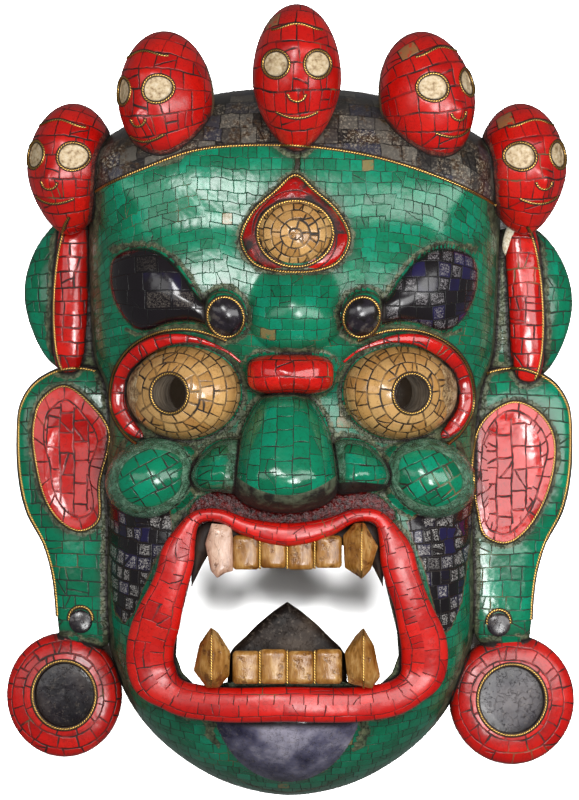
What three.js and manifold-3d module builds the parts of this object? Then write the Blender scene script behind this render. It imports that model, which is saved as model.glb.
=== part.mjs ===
// A carved wooden mask of a wrathful protector, inlaid flush with stone and bone: a face with bulging eyes
// and an open mouth, long ears with disc earrings, and a crown of five skulls. It lies on the rim of its
// hollow back, face up. Millimetres: X across the face, Y from chin to crown, Z up from the floor.
import * as THREE from "three";
import { mergeVertices } from "three/addons/utils/BufferGeometryUtils.js";
import { ConvexGeometry } from "three/addons/geometries/ConvexGeometry.js";
import Module from "manifold-3d";

const wasm = await Module();
wasm.setup();

// ---------------------------------------------------------------- driving dimensions
const CHIN_Y = -249.5; // lowest point of the chin
const CROWN_Y = 198; // top edge of the crown band
const WALL = 16; // wood left at the rim
const FRONT_WALL = 21; // wood left behind the face
const FACE_ROUND = 3; // how boxy the face's cross-section is, 2 being an ellipse
const CROWN_ROUND = 5.5; // the same for the crown band, which turns back more sharply
const SOCKET_DEPTH = 8; // how far the face sinks around each eye
const SINK = 12; // how deep a raised form is rooted in the wood
const GAP = 0.3; // between pieces that touch
const DEGREE = Math.PI / 180;

// The carver's centre line wanders a little from form to form.
const DRIFT = { crown: 4, temples: 2, thirdEye: 3, brows: 2, eyes: 1, nose: -3, mouth: -2, ears: 2.5, flares: 5 };
const SIDES = [
  { name: "left", s: -1 },
  { name: "right", s: 1 },
];

const { lerp, clamp, smoothstep } = THREE.MathUtils;

// ---------------------------------------------------------------- outlines
// A closed smooth outline seen from the front, which answers how far it lies from its centre at any angle.
class Outline {
  constructor(points, centre, inset = 0) {
    this.centre = centre;
    const corners = points.map(([x, y]) => new THREE.Vector3(x - centre[0], y - centre[1], 0));
    this.polar = new THREE.CatmullRomCurve3(corners, true)
      .getSpacedPoints(360)
      .map((p) => [Math.atan2(p.y, p.x), Math.hypot(p.x, p.y) - inset])
      .sort((a, b) => a[0] - b[0]);
  }
  reach(angle) {
    const after = this.polar.findIndex(([a]) => a > angle);
    const next = this.polar[Math.max(after, 0)];
    const last = this.polar.at(after > 0 ? after - 1 : -1);
    const turn = (a, b) => (a - b + 4 * Math.PI) % (2 * Math.PI);
    return lerp(last[1], next[1], turn(angle, last[0]) / Math.max(turn(next[0], last[0]), 1e-9));
  }
  // 0 at the centre and 1 on the outline.
  share(x, y) {
    const [dx, dy] = [x - this.centre[0], y - this.centre[1]];
    return Math.hypot(dx, dy) / this.reach(Math.atan2(dy, dx));
  }
}

const mirrored = (half) => [...half, ...half.toReversed().flatMap(([x, y]) => (x > 0 ? [[-x, y]] : []))];
const moved = (points, s, dx, dy = 0) => points.map(([x, y]) => [s * x + dx, y + dy]);
const ellipse = (a, b, count) =>
  Array.from({ length: count }, (_, i) => [
    a * Math.cos((i * 2 * Math.PI) / count),
    b * Math.sin((i * 2 * Math.PI) / count),
  ]);
const flatShape = (points) => new THREE.Shape(points.map(([x, y]) => new THREE.Vector2(x, y)));

// ---------------------------------------------------------------- the head's surface
const HEAD = mirrored([
  [0, CROWN_Y], [30, 197], [56, 193], [85, 184], [110, 172], [125, 161], [130, 146], [131, 110],
  [130, 60], [128, 32], [121, 8], [118.5, -60], [117.5, -137], [112, -165], [103, -188], [88, -209],
  [64, -229], [36, -243], [0, CHIN_Y],
]).map(([x, y]) => [x + (y > 0 ? DRIFT.temples : 0), y]);
const HEAD_CENTRE = [0, -10];
const headOutline = new Outline(HEAD, HEAD_CENTRE);
const hollowOutline = new Outline(HEAD, HEAD_CENTRE, WALL);

// Depth of the face along its centre line, from crown to chin.
const PROFILE = [
  [200, 98], [165, 107], [120, 114], [80, 116], [40, 112], [5, 101], [-40, 97], [-100, 99],
  [-160, 104], [-195, 107], [-225, 103], [-250, 94],
];
const profile = new THREE.SplineCurve(PROFILE.map(([y, z]) => new THREE.Vector2(y, z))).getPoints(96);
function profileDepth(y) {
  const i = clamp(profile.findIndex((p) => p.x <= y), 1, profile.length - 1);
  const [a, b] = [profile[i - 1], profile[i]];
  return lerp(a.y, b.y, clamp((y - a.x) / (b.x - a.x), 0, 1));
}

const EYE = { x: 68, y: 4.5, z: 88, half: [36, 31, 32] };
const socketDip = (x, y) =>
  SOCKET_DEPTH *
  Math.max(...SIDES.map(({ s }) => Math.exp(-(Math.hypot((x - s * EYE.x) / 46, (y - EYE.y - 4) / 38) ** 4))));

// Height of the plain head above the floor, or of the hollow inside it.
function domeHeight(outline, depth, x, y) {
  const round = lerp(FACE_ROUND, CROWN_ROUND, smoothstep(y, 105, 165));
  const share = Math.min(1, outline.share(x, y));
  return depth * (1 - share ** round) ** (1 / round);
}
const headHeight = (x, y) => domeHeight(headOutline, profileDepth(y) - socketDip(x, y), x, y);
const hollowHeight = (x, y) => domeHeight(hollowOutline, profileDepth(y) - FRONT_WALL, x, y);

// ---------------------------------------------------------------- solids
function solid(geometry) {
  const bare = geometry.clone();
  bare.deleteAttribute("normal");
  bare.deleteAttribute("uv");
  const merged = mergeVertices(bare, 1e-4);
  return new wasm.Manifold(
    new wasm.Mesh({
      numProp: 3,
      vertProperties: new Float32Array(merged.attributes.position.array),
      triVerts: new Uint32Array(merged.index.array),
    }),
  );
}

function geometryOf(manifold) {
  const { vertProperties, triVerts } = manifold.getMesh();
  const geometry = new THREE.BufferGeometry();
  geometry.setAttribute("position", new THREE.BufferAttribute(vertProperties, 3));
  geometry.setIndex(new THREE.BufferAttribute(triVerts, 1));
  geometry.computeVertexNormals();
  return geometry;
}

const union = (parts) => parts.reduce((a, b) => a.add(b));

function reshape(geometry, place) {
  const p = geometry.attributes.position;
  for (let i = 0; i < p.count; i++) p.setXYZ(i, ...place(p.getX(i), p.getY(i), p.getZ(i)));
  return geometry;
}

// A ball whose rim takes an outline; top and bottom give the height at a point and its share of the way out.
function pillow(outline, top, bottom, sectors, rings) {
  const ball = new THREE.SphereGeometry(1, sectors, rings).rotateX(Math.PI / 2);
  return solid(
    reshape(ball, (x, y, z) => {
      const share = Math.hypot(x, y);
      const angle = Math.atan2(y, x);
      const reach = share * outline.reach(angle);
      const px = outline.centre[0] + reach * Math.cos(angle);
      const py = outline.centre[1] + reach * Math.sin(angle);
      return [px, py, z > -1e-6 ? top(px, py, share) : bottom(px, py, share)];
    }),
  );
}

// A dome over the head, rooted in it: its rise at its centre, how much it gains towards the chin, and an edge
// power, which makes its sides steeper the smaller it is.
function boss(outline, { rise, gain = 0, edge = 0.5 }, sectors, rings) {
  const riseAt = (y) => rise + gain * (outline.centre[1] - y);
  const top = (x, y, share) => headHeight(x, y) + riseAt(y) * Math.max(0, 1 - share ** 2) ** edge;
  return pillow(outline, top, (x, y) => headHeight(x, y) - SINK, sectors, rings);
}

// A slab with a rounded rim whose two faces lie at the heights low and high.
function slab(outline, low, high, sectors, rings) {
  const bulge = (share) => Math.max(0, 1 - share ** 2) ** 0.33;
  const middle = lerp(low, high, 0.35);
  const top = (x, y, share) => lerp(middle, high, bulge(share));
  const bottom = (x, y, share) => lerp(middle, low, bulge(share));
  return pillow(outline, top, bottom, sectors, rings);
}

function ball([x, y, z], [a, b, c], sectors, rings, turn = [0, 0, 0]) {
  const geometry = new THREE.SphereGeometry(1, sectors, rings).rotateX(Math.PI / 2).scale(a, b, c);
  geometry.applyMatrix4(new THREE.Matrix4().makeRotationFromEuler(new THREE.Euler(...turn)));
  return solid(geometry.translate(x, y, z));
}

// A closed roll of elliptical section: a torus bent on to the path, upright in Z.
function roll(path, steps, sides, halfWidth, halfHeight) {
  const torus = new THREE.TorusGeometry(2, 1, sides, steps);
  return solid(
    reshape(torus, (x, y, z) => {
      const t = (Math.atan2(y, x) / (2 * Math.PI) + 1) % 1;
      const p = path.getPointAt(t);
      const along = path.getTangentAt(t);
      const out = (Math.hypot(x, y) - 2) * halfWidth(p);
      const flat = Math.hypot(along.x, along.y);
      return [p.x + (along.y / flat) * out, p.y - (along.x / flat) * out, p.z + halfHeight(p) * z];
    }),
  );
}

// A rod of round section along an open path, with closed ends.
function rod(points, radius, steps, sides) {
  const extrudePath = new THREE.CatmullRomCurve3(points);
  return solid(new THREE.ExtrudeGeometry(flatShape(ellipse(radius, radius, sides)), { steps, extrudePath }));
}

// ---------------------------------------------------------------- brows, eyes, nose and cheeks
const BROW = [
  [114, 88], [107, 94], [92, 96], [79, 90], [68, 78], [60, 66], [52, 58], [50, 48],
  [66, 50], [78, 49], [92, 44.5], [100, 46], [109, 56], [115, 72],
];
const CURL = { x: 45, y: 52, half: [12.5, 12.5] };

function brows() {
  return SIDES.flatMap(({ s }) => {
    const middle = [s * 88 + DRIFT.brows, 70];
    const curl = [s * CURL.x + DRIFT.brows, CURL.y];
    return [
      boss(new Outline(moved(BROW, s, DRIFT.brows), middle), { rise: 13, edge: 0.3 }, 16, 6),
      boss(new Outline(moved(ellipse(...CURL.half, 10), s, ...curl), curl), { rise: 16 }, 10, 6),
    ];
  });
}

const LID = [[-28, 24], [-5, 32], [13, 31], [30, 21], [39.5, 6], [41, -8], [22, -24]];

function eyes() {
  return SIDES.flatMap(({ s }) => {
    const lid = moved(LID, s, s * EYE.x + DRIFT.eyes, EYE.y).map(
      ([x, y]) => new THREE.Vector3(x, y, Math.max(headHeight(x, y) + 8, EYE.z - 8)),
    );
    return [ball([s * EYE.x + DRIFT.eyes, EYE.y, EYE.z], EYE.half, 18, 10), rod(lid, 5.5, 8, 6)];
  });
}

const PUPIL = { x: 76, y: 5, z: 116, radius: 12.5, lean: 15 * DEGREE };

function pupilBore(s) {
  const bore = new THREE.CylinderGeometry(PUPIL.radius, PUPIL.radius, 140, 12).rotateX(Math.PI / 2);
  return solid(bore.rotateY(s * PUPIL.lean).translate(s * PUPIL.x, PUPIL.y, PUPIL.z));
}

const TEAR = mirrored([[0, 141], [12, 131], [26, 118], [33, 102], [26, 88], [13, 83], [0, 82]]);

function thirdEye() {
  const middle = [DRIFT.thirdEye, 105];
  return [
    boss(new Outline(moved(TEAR, 1, DRIFT.thirdEye), middle), { rise: 6, edge: 0.3 }, 16, 6),
    ball([...middle, headHeight(...middle)], [24.5, 21.5, 17], 14, 8),
  ];
}

const NOSE_TIP = mirrored([[0, 7], [13, 4], [22, -8], [28, -22], [33, -42], [33, -56], [26, -64], [12, -69], [0, -70]]);
const NOSE_WING = [[28, -26], [44, -25], [56, -34], [63, -47], [58, -55], [44, -57], [28, -57]];

function nose() {
  const tip = new Outline(moved(NOSE_TIP, 1, DRIFT.nose), [DRIFT.nose, -36]);
  const wing = (s) => new Outline(moved(NOSE_WING, s, 0), [s * 44, -43]);
  return [
    boss(tip, { rise: 50, gain: 0.45, edge: 0.42 }, 18, 8),
    ball([DRIFT.nose + 3, 17, 112], [27, 12.5, 19], 12, 6),
    ball([DRIFT.thirdEye, 60, 104], [30, 22, 24], 12, 6),
    ...SIDES.map(({ s }) => boss(wing(s), { rise: 30, gain: 0.3, edge: 0.45 }, 10, 6)),
  ];
}

function cheeks() {
  return SIDES.map(({ s }) => ball([s * 86, -48, 82], [31, 25, 28], 12, 8, [0, 0, -s * 0.3]));
}

// ---------------------------------------------------------------- the mouth
const LIPS = mirrored([
  [0, -83.5], [25, -79], [43, -71.5], [57, -73], [66, -88], [72, -110], [80, -133], [86, -155],
  [84, -172], [71, -184.5], [45, -190], [0, -190],
]);
const MOUTH = mirrored([
  [0, -85], [33.5, -85], [35, -77], [53, -77], [57, -95], [69, -145], [70, -160], [66, -171],
  [58, -178.8], [39, -178.8], [38, -176], [0, -176],
]);

function lips() {
  const path = new THREE.CatmullRomCurve3(
    moved(LIPS, 1, DRIFT.mouth).map(([x, y]) => new THREE.Vector3(x, y, headHeight(x, y) + 4)),
    true,
  );
  const fullness = (p) => smoothstep(-p.y, 68, 100);
  const halfWidth = (p) => 4 + 7 * fullness(p) + 4 * smoothstep(Math.abs(p.x), 74, 86);
  return roll(path, 32, 8, halfWidth, (p) => lerp(8, 14, fullness(p)));
}

function mouthHole() {
  const shape = flatShape(moved(MOUTH, 1, DRIFT.mouth));
  return solid(new THREE.ExtrudeGeometry(shape, { depth: 140, bevelEnabled: false }).translate(0, 0, 40));
}

function tongue() {
  const half = [[0, -126], [7, -131], [20, -138], [31, -146], [36, -157], [38, -186]];
  const slice = { depth: 11, bevelSize: 2, bevelThickness: 2, bevelSegments: 1, bevelOffset: -2 };
  const shape = flatShape(moved(mirrored(half), 1, DRIFT.mouth));
  return solid(new THREE.ExtrudeGeometry(shape, slice).translate(0, 0, 76));
}

function goatee() {
  const half = [[0, -193], [30, -194], [45, -200], [41, -213], [29, -229], [14, -238], [0, -240.5]];
  return boss(new Outline(moved(mirrored(half), 1, DRIFT.mouth), [DRIFT.mouth, -212]), { rise: 10, edge: 0.6 }, 14, 6);
}

// ---------------------------------------------------------------- ears, flares and earrings
const EAR = [
  [104, 10], [122, 20], [140, 23], [154, 19.5], [166, 11.5], [174, -2], [176, -22], [175, -48], [170, -70],
  [158.5, -92], [152.5, -112], [150, -132], [147, -153], [120, -155], [104, -110], [102, -40],
];
const EAR_BACK = 8;
const EAR_FRONT = 40;

function ears() {
  return SIDES.map(({ s }) => {
    const shell = slab(new Outline(moved(EAR, s, DRIFT.ears), [s * 138, -50]), EAR_BACK, EAR_FRONT, 22, 6);
    const dish = ball([s * 138 + DRIFT.ears, -38, EAR_FRONT + 7], [23, 44, 13], 12, 6, [0, 0, s * 0.08]);
    return shell.subtract(dish);
  });
}

const FLARE = [
  [116, 100], [132, 112], [148, 112], [160, 102], [170, 84], [173.5, 64], [169, 42], [157, 21], [140, 12], [116, 20],
];

function flares() {
  return SIDES.flatMap(({ s }) => {
    const rise = s < 0 ? 4 : -2;
    const outline = new Outline(moved(FLARE, s, DRIFT.flares, rise), [s * 143, 62]);
    return [
      slab(outline, EAR_BACK, 38, 16, 6),
      ball([s * 144 + DRIFT.flares, 64 + rise, 36], [10, 50, 8], 8, 8, [0, 0, s * 0.05]),
    ];
  });
}

const EARRING = { x: 141.5, z: [4, 38], left: { y: -185.5, radius: 36.5 }, right: { y: -188, radius: 39.5 } };
const DISC_SHARE = 0.54; // of the earring's radius

function earrings() {
  return SIDES.map(({ name, s }) => {
    const { y, radius } = EARRING[name];
    const centre = [s * EARRING.x - 1.5, y];
    const outline = new Outline(moved(ellipse(radius, radius, 16), 1, ...centre), centre);
    const seat = new THREE.CylinderGeometry(radius * DISC_SHARE, radius * DISC_SHARE, 10, 16).rotateX(Math.PI / 2);
    return slab(outline, ...EARRING.z, 20, 6).subtract(solid(seat.translate(...centre, EARRING.z[1] + 1.5)));
  });
}

// ---------------------------------------------------------------- the crown of skulls
const SKULLS = [
  { x: 0, y: 203, z: 97, half: [28, 46.5, 33], yaw: 0, tilt: 0 },
  ...SIDES.flatMap(({ s }) => [
    { x: s * 82, y: 191.5, z: 80, half: [29, 41.5, 33], yaw: s * 32, tilt: s * 5 },
    { x: s * 142, y: 146.5, z: 54, half: [27, 41.5, 33], yaw: s * 24, tilt: s * 3 },
  ]),
];

function skull({ x, y, z, half: [a, b, c], yaw, tilt }) {
  const egg = reshape(new THREE.SphereGeometry(1, 12, 8), (u, v, w) => {
    const jaw = 1 - 0.22 * Math.max(0, -v) ** 1.5;
    return [a * u * jaw, b * v, c * w * jaw];
  });
  const socket = (s) => ball([s * 13, b * 0.18, c * 0.94], [8, 8.5, 5], 8, 4);
  const nub = ball([0, -b * 0.21, c * 0.92], [6, 8, 6], 6, 4);
  const carved = solid(egg).add(nub).subtract(union([socket(-1), socket(1)]));
  const place = new THREE.Euler(0, yaw * DEGREE, tilt * DEGREE, "ZYX");
  const matrix = new THREE.Matrix4().makeRotationFromEuler(place).setPosition(x + DRIFT.crown, y, z);
  return carved.transform(matrix.toArray());
}

// ---------------------------------------------------------------- teeth
const INCISOR = { pitch: 17.2, thick: 13, front: 108, bevel: 1.5 };
const FANG_DEPTH = 18;
const FANG_FRONT = 117;
const JAWS = [
  { name: "upper", root: -85, edge: -104.5, fangX: 45, fangHalf: 10, fangRoot: -77, fangTip: -111 },
  { name: "lower", root: -176, edge: -156.5, fangX: 47, fangHalf: 12, fangRoot: -178.8, fangTip: -141 },
];

// A bone block with bevelled edges; room grows it on every side.
function incisor({ root, edge }, index, room) {
  const { pitch, thick, front, bevel } = INCISOR;
  const side = (pitch - GAP) / 2 + room;
  const [low, high] = [Math.min(root, edge) + GAP - room, Math.max(root, edge) - GAP + room];
  const shape = flatShape([[-side, low], [side, low], [side, high], [-side, high]]);
  const block = { depth: thick - 2 * bevel + 2 * room, bevelSize: bevel, bevelThickness: bevel, bevelSegments: 1 };
  const x = (index - 1.5) * pitch;
  const back = front - thick - 0.003 * x * x;
  const geometry = new THREE.ExtrudeGeometry(shape, { ...block, bevelOffset: -bevel });
  return solid(geometry.translate(x + DRIFT.mouth, 0, back + bevel - room));
}

// A fang is a wedge with a ridge down its front and a point at its free end.
function fang({ fangX, fangHalf, fangRoot, fangTip }, s, room) {
  const towards = Math.sign(fangTip - fangRoot);
  const section = [[-1, 0], [0, 1], [1, 0], [0.8, -1], [-0.8, -1]];
  const ring = (y, scale) =>
    section.map(([u, w]) => {
      const reach = [fangHalf * scale + room, (FANG_DEPTH / 2) * scale + room];
      return new THREE.Vector3(u * reach[0], y, w * reach[1]);
    });
  const points = [
    ...ring(fangRoot + towards * (GAP - room), 0.8),
    ...ring(fangTip - towards * 16, 1),
    ...ring(fangTip + towards * room, 0.14),
  ];
  const geometry = new ConvexGeometry(points);
  return solid(geometry.translate(s * fangX + DRIFT.mouth, 0, FANG_FRONT - FANG_DEPTH / 2));
}

function* teeth(room) {
  for (const jaw of JAWS) {
    for (const index of [0, 1, 2, 3]) yield [`${jaw.name}_incisor_${index + 1}`, incisor(jaw, index, room)];
    for (const { name, s } of SIDES) yield [`${jaw.name}_fang_${name}`, fang(jaw, s, room)];
  }
}

// ---------------------------------------------------------------- the carving as one piece
function carving() {
  const head = pillow(headOutline, headHeight, () => 0, 36, 14);
  const hollow = pillow(hollowOutline, hollowHeight, () => -5, 24, 10);
  const raised = union([
    head, ...eyes(), ...brows(), ...thirdEye(), ...nose(), ...cheeks(), lips(), goatee(),
    ...ears(), ...flares(), ...earrings(), ...SKULLS.map(skull),
  ]);
  const openings = union([hollow, mouthHole(), ...SIDES.map(({ s }) => pupilBore(s))]);
  const sockets = union([...teeth(GAP)].map(([, tooth]) => tooth));
  return raised.subtract(openings).add(tongue()).subtract(sockets);
}

// ---------------------------------------------------------------- materials and the scene graph
const inlaidWood = new THREE.MeshStandardMaterial({ color: 0x0f7a58, roughness: 0.3, metalness: 0 });
const bone = new THREE.MeshStandardMaterial({ color: 0xcda566, roughness: 0.35, metalness: 0 });

function named(name, manifold, material) {
  const mesh = new THREE.Mesh(geometryOf(manifold), material);
  mesh.name = name;
  return mesh;
}

const mask = new THREE.Group();
mask.name = "tibetan_cham_mask";
mask.add(named("carved_mask", carving(), inlaidWood));
for (const [name, tooth] of teeth(0)) mask.add(named(name, tooth, bone));

export default mask;
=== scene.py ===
"""A carved wooden protector mask, inlaid with stone and bone, lying face up on a pale floor.

Lengths in the shape sections are millimetres, as in the solids, and become metres where a mesh is made.
X runs across the face, Y from the chin to the crown and Z out of the face.
"""

import math

import bpy
import numpy as np
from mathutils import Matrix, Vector
from mathutils.bvhtree import BVHTree


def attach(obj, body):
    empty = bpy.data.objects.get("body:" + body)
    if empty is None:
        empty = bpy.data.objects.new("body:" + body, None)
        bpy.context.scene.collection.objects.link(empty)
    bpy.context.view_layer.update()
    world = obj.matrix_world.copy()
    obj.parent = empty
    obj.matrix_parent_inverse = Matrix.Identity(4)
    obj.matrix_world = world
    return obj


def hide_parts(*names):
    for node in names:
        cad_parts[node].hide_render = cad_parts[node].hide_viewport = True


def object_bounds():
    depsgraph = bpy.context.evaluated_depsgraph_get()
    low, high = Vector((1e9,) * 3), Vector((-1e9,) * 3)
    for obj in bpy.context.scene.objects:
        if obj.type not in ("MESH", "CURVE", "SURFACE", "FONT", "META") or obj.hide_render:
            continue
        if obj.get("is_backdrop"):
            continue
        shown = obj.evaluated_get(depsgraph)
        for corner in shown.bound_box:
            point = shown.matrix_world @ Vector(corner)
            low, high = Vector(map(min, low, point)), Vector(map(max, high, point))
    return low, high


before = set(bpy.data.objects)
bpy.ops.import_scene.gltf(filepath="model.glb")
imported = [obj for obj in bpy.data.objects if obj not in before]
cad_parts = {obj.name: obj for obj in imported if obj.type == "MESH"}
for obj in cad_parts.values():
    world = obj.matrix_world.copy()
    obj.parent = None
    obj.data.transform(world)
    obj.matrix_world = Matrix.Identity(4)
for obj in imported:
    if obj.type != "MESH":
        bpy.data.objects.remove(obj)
cad_low, cad_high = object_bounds()

MM = 0.001
SIDES = {"left": -1, "right": 1}
DRIFT = {
    "crown": 4, "temples": 2, "third_eye": 3, "brows": 2, "eyes": 1, "nose": -3, "mouth": -2,
    "ears": 2.5, "flares": 5,
}


# ------------------------------------------------------------------ outlines
def catmull(points, closed=True, power=0.5, steps=24):
    """A smooth curve through the points: centripetal at power 0.5, uniform at 0."""
    p = np.asarray(points, float)
    if closed:
        p = np.vstack([p[-1], p, p[0], p[1]])
    else:
        p = np.vstack([2 * p[0] - p[1], p, 2 * p[-1] - p[-2]])
    t = np.linspace(0, 1, steps, endpoint=False)[:, None]
    made = []
    for a, b, c, d in zip(p, p[1:], p[2:], p[3:]):
        ab, bc, cd = (max(np.linalg.norm(q - r), 1e-6) ** power for q, r in ((b, a), (c, b), (d, c)))
        m0 = ((b - a) / ab - (c - a) / (ab + bc) + (c - b) / bc) * bc
        m1 = ((c - b) / bc - (d - b) / (bc + cd) + (d - c) / cd) * bc
        made.append(
            b + m0 * t + (3 * (c - b) - 2 * m0 - m1) * t**2 + (2 * (b - c) + m0 + m1) * t**3
        )
    if not closed:
        made.append(p[-2][None])
    return np.vstack(made)


def even(path, spacing, closed=False):
    """The path again, with its points an equal distance apart."""
    if closed:
        path = np.vstack([path, path[:1]])
    run = np.concatenate([[0], np.cumsum(np.linalg.norm(np.diff(path, axis=0), axis=1))])
    count = max(int(round(run[-1] / spacing)), 3)
    at = np.linspace(0, run[-1], count + 1)[: count if closed else count + 1]
    return np.stack([np.interp(at, run, path[:, i]) for i in range(path.shape[1])], axis=1)


class Outline:
    """A closed smooth outline, which answers how far it lies from its centre at any angle."""

    def __init__(self, points, centre, inset=0.0, smooth=True):
        self.centre = np.asarray(centre, float)
        curve = (catmull(points) if smooth else even(np.asarray(points, float), 0.5, True)) - self.centre
        angle = np.arctan2(curve[:, 1], curve[:, 0])
        order = np.argsort(angle)
        self.angle = angle[order]
        self.radius = np.hypot(*curve[order].T) - inset

    def reach(self, angle):
        wrapped = (angle + math.pi) % (2 * math.pi) - math.pi
        return np.interp(wrapped, self.angle, self.radius, period=2 * math.pi)

    def share(self, x, y):
        dx, dy = x - self.centre[0], y - self.centre[1]
        return np.hypot(dx, dy) / self.reach(np.arctan2(dy, dx))

    def outside(self, x, y):
        """How far a point lies outside, negative inside."""
        dx, dy = x - self.centre[0], y - self.centre[1]
        return np.hypot(dx, dy) - self.reach(np.arctan2(dy, dx))

    def ring(self, grow=0.0, count=240):
        a = np.linspace(0, 2 * math.pi, count, endpoint=False)
        r = self.reach(a) + grow
        return np.stack([self.centre[0] + r * np.cos(a), self.centre[1] + r * np.sin(a)], axis=1)


def mirrored(half):
    return half + [(-x, y) for x, y in reversed(half) if x > 0]


def moved(points, s, dx, dy=0.0):
    return [(s * x + dx, y + dy) for x, y in points]


def ellipse(a, b, count=16):
    turn = [i * 2 * math.pi / count for i in range(count)]
    return [(a * math.cos(t), b * math.sin(t)) for t in turn]


def leaning(a, b, s):
    """An oval whose top leans outwards on the side s."""
    return [(x * 0.94 + s * y * 0.34, y * 0.94 - s * x * 0.34) for x, y in ellipse(b, a)]


def smoothstep(x, low, high):
    t = np.clip((x - low) / (high - low), 0, 1)
    return t * t * (3 - 2 * t)


def smooth_max(a, b, width):
    h = np.clip(width - np.abs(a - b), 0, None) / width
    return np.maximum(a, b) + h * h * width / 4


# ------------------------------------------------------------------ the head, as in the solids
CHIN_Y = -249.5
CROWN_Y = 198
WALL = 16
FRONT_WALL = 21
FACE_ROUND, CROWN_ROUND = 3, 5.5
SOCKET_DEPTH = 8

HEAD = mirrored([
    (0, CROWN_Y), (30, 197), (56, 193), (85, 184), (110, 172), (125, 161), (130, 146), (131, 110),
    (130, 60), (128, 32), (121, 8), (118.5, -60), (117.5, -137), (112, -165), (103, -188), (88, -209),
    (64, -229), (36, -243), (0, CHIN_Y),
])
HEAD = [(x + (DRIFT["temples"] if y > 0 else 0), y) for x, y in HEAD]
HEAD_CENTRE = (0, -10)
head_outline = Outline(HEAD, HEAD_CENTRE)
hollow_outline = Outline(HEAD, HEAD_CENTRE, WALL)
PROFILE = catmull(
    [(-250, 94), (-225, 103), (-195, 107), (-160, 104), (-100, 99), (-40, 97), (5, 101), (40, 112),
     (80, 116), (120, 114), (165, 107), (200, 98)],
    closed=False, power=0,
)
EYE = {"x": 68, "y": 4.5, "z": 88}


def socket_dip(x, y):
    away = [np.hypot((x - s * EYE["x"]) / 46, (y - EYE["y"] - 4) / 38) for s in SIDES.values()]
    return SOCKET_DEPTH * np.exp(-np.minimum(*away) ** 4)


def dome(outline, depth, x, y):
    power = FACE_ROUND + (CROWN_ROUND - FACE_ROUND) * smoothstep(y, 105, 165)
    share = np.minimum(outline.share(x, y), 1)
    return depth * (1 - share**power) ** (1 / power)


def head_height(x, y):
    return dome(head_outline, np.interp(y, *PROFILE.T) - socket_dip(x, y), x, y)


def hollow_height(x, y):
    return dome(hollow_outline, np.interp(y, *PROFILE.T) - FRONT_WALL, x, y)


# ------------------------------------------------------------------ raised forms, each a height over the head
class Boss:
    """A dome over the head inside an outline."""

    def __init__(self, points, centre, rise, gain=0.0, edge=0.5, power=2.0):
        self.outline = Outline(points, centre)
        self.rise, self.gain, self.edge, self.power = rise, gain, edge, power

    def height(self, x, y):
        share = np.minimum(self.outline.share(x, y), 1)
        rise = self.rise + self.gain * (self.outline.centre[1] - y)
        return head_height(x, y) + rise * (1 - share**self.power) ** self.edge


class Ball:
    """The upper half of an ellipsoid, turned about Z; blunt squares its ends off and lean slopes it along X."""

    def __init__(self, centre, half, turn=0.0, blunt=2.0, lean=0.0):
        self.centre, self.half, self.lean = centre, half, lean
        spread = np.array(ellipse(half[0], half[1], 24))
        if blunt > 2:
            spread = np.sign(spread) * half[:2] * np.abs(spread / half[:2]) ** (2 / blunt)
        c, s = math.cos(turn), math.sin(turn)
        points = spread @ np.array([[c, s], [-s, c]]) + centre[:2]
        self.outline = Outline(points, centre[:2])

    def height(self, x, y):
        share = np.minimum(self.outline.share(x, y), 1)
        return self.centre[2] + self.half[2] * np.sqrt(1 - share**2) + self.lean * (x - self.centre[0])


BROW = [
    (114, 88), (107, 94), (92, 96), (79, 90), (68, 78), (60, 66), (52, 58), (50, 48),
    (66, 50), (78, 49), (92, 44.5), (100, 46), (109, 56), (115, 72),
]
CURL = (43.5, 54.5)
TEAR = mirrored([(0, 141), (12, 131), (26, 118), (33, 102), (26, 88), (13, 83), (0, 82)])
THIRD_EYE = (DRIFT["third_eye"], 105)
NOSE_TIP = mirrored([
    (0, 7), (13, 4), (22, -8), (28, -22), (33, -42), (33, -56), (26, -64), (12, -69), (0, -70),
])
NOSE_WING = [(28, -26), (44, -25), (56, -34), (63, -47), (58, -55), (44, -57), (28, -57)]
GOATEE = mirrored([(0, -193), (30, -194), (45, -200), (41, -213), (29, -229), (14, -238), (0, -240.5)])

FORMS = {
    "third_eye_rim": Boss(moved(TEAR, 1, DRIFT["third_eye"]), THIRD_EYE, 6, edge=0.3),
    "third_eye": Ball((*THIRD_EYE, float(head_height(*np.array(THIRD_EYE, float)))), (24.5, 21.5, 17)),
    "nose": Boss(moved(NOSE_TIP, 1, DRIFT["nose"]), (DRIFT["nose"], -36), 48.6, 0.28, 0.42, 3.0),
    "nose_roll": Ball((0, 17, 112), (27, 12.5, 19), blunt=3.5),
    "goatee": Boss(moved(GOATEE, 1, DRIFT["mouth"]), (DRIFT["mouth"], -212), 10, edge=0.6),
}
for side, s in SIDES.items():
    FORMS["brow_" + side] = Boss(moved(BROW, s, DRIFT["brows"]), (s * 88 + DRIFT["brows"], 70), 13, edge=0.3)
    curl = (s * CURL[0] + DRIFT["brows"], CURL[1])
    FORMS["brow_curl_" + side] = Boss(moved(leaning(15, 13.5, s), 1, *curl), curl, 15, edge=0.3)
    FORMS["nose_wing_" + side] = Boss(moved(NOSE_WING, s, 0), (s * 44, -43), 30, 0.3, 0.45)
    FORMS["cheek_" + side] = Ball((s * 86, -48, 82), (31, 25, 28), turn=-s * 0.3)

eyes = {
    side: Ball((s * EYE["x"] + DRIFT["eyes"], EYE["y"] + 2, EYE["z"]), (36, 30.5, 32), lean=-s * 0.2)
    for side, s in SIDES.items()
}
cheeks = [FORMS["cheek_left"], FORMS["cheek_right"]]
FILLET = 7.0  # width of the filler round each form
FROWN = (DRIFT["third_eye"], 56)  # middle of the knot between the brows


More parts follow.
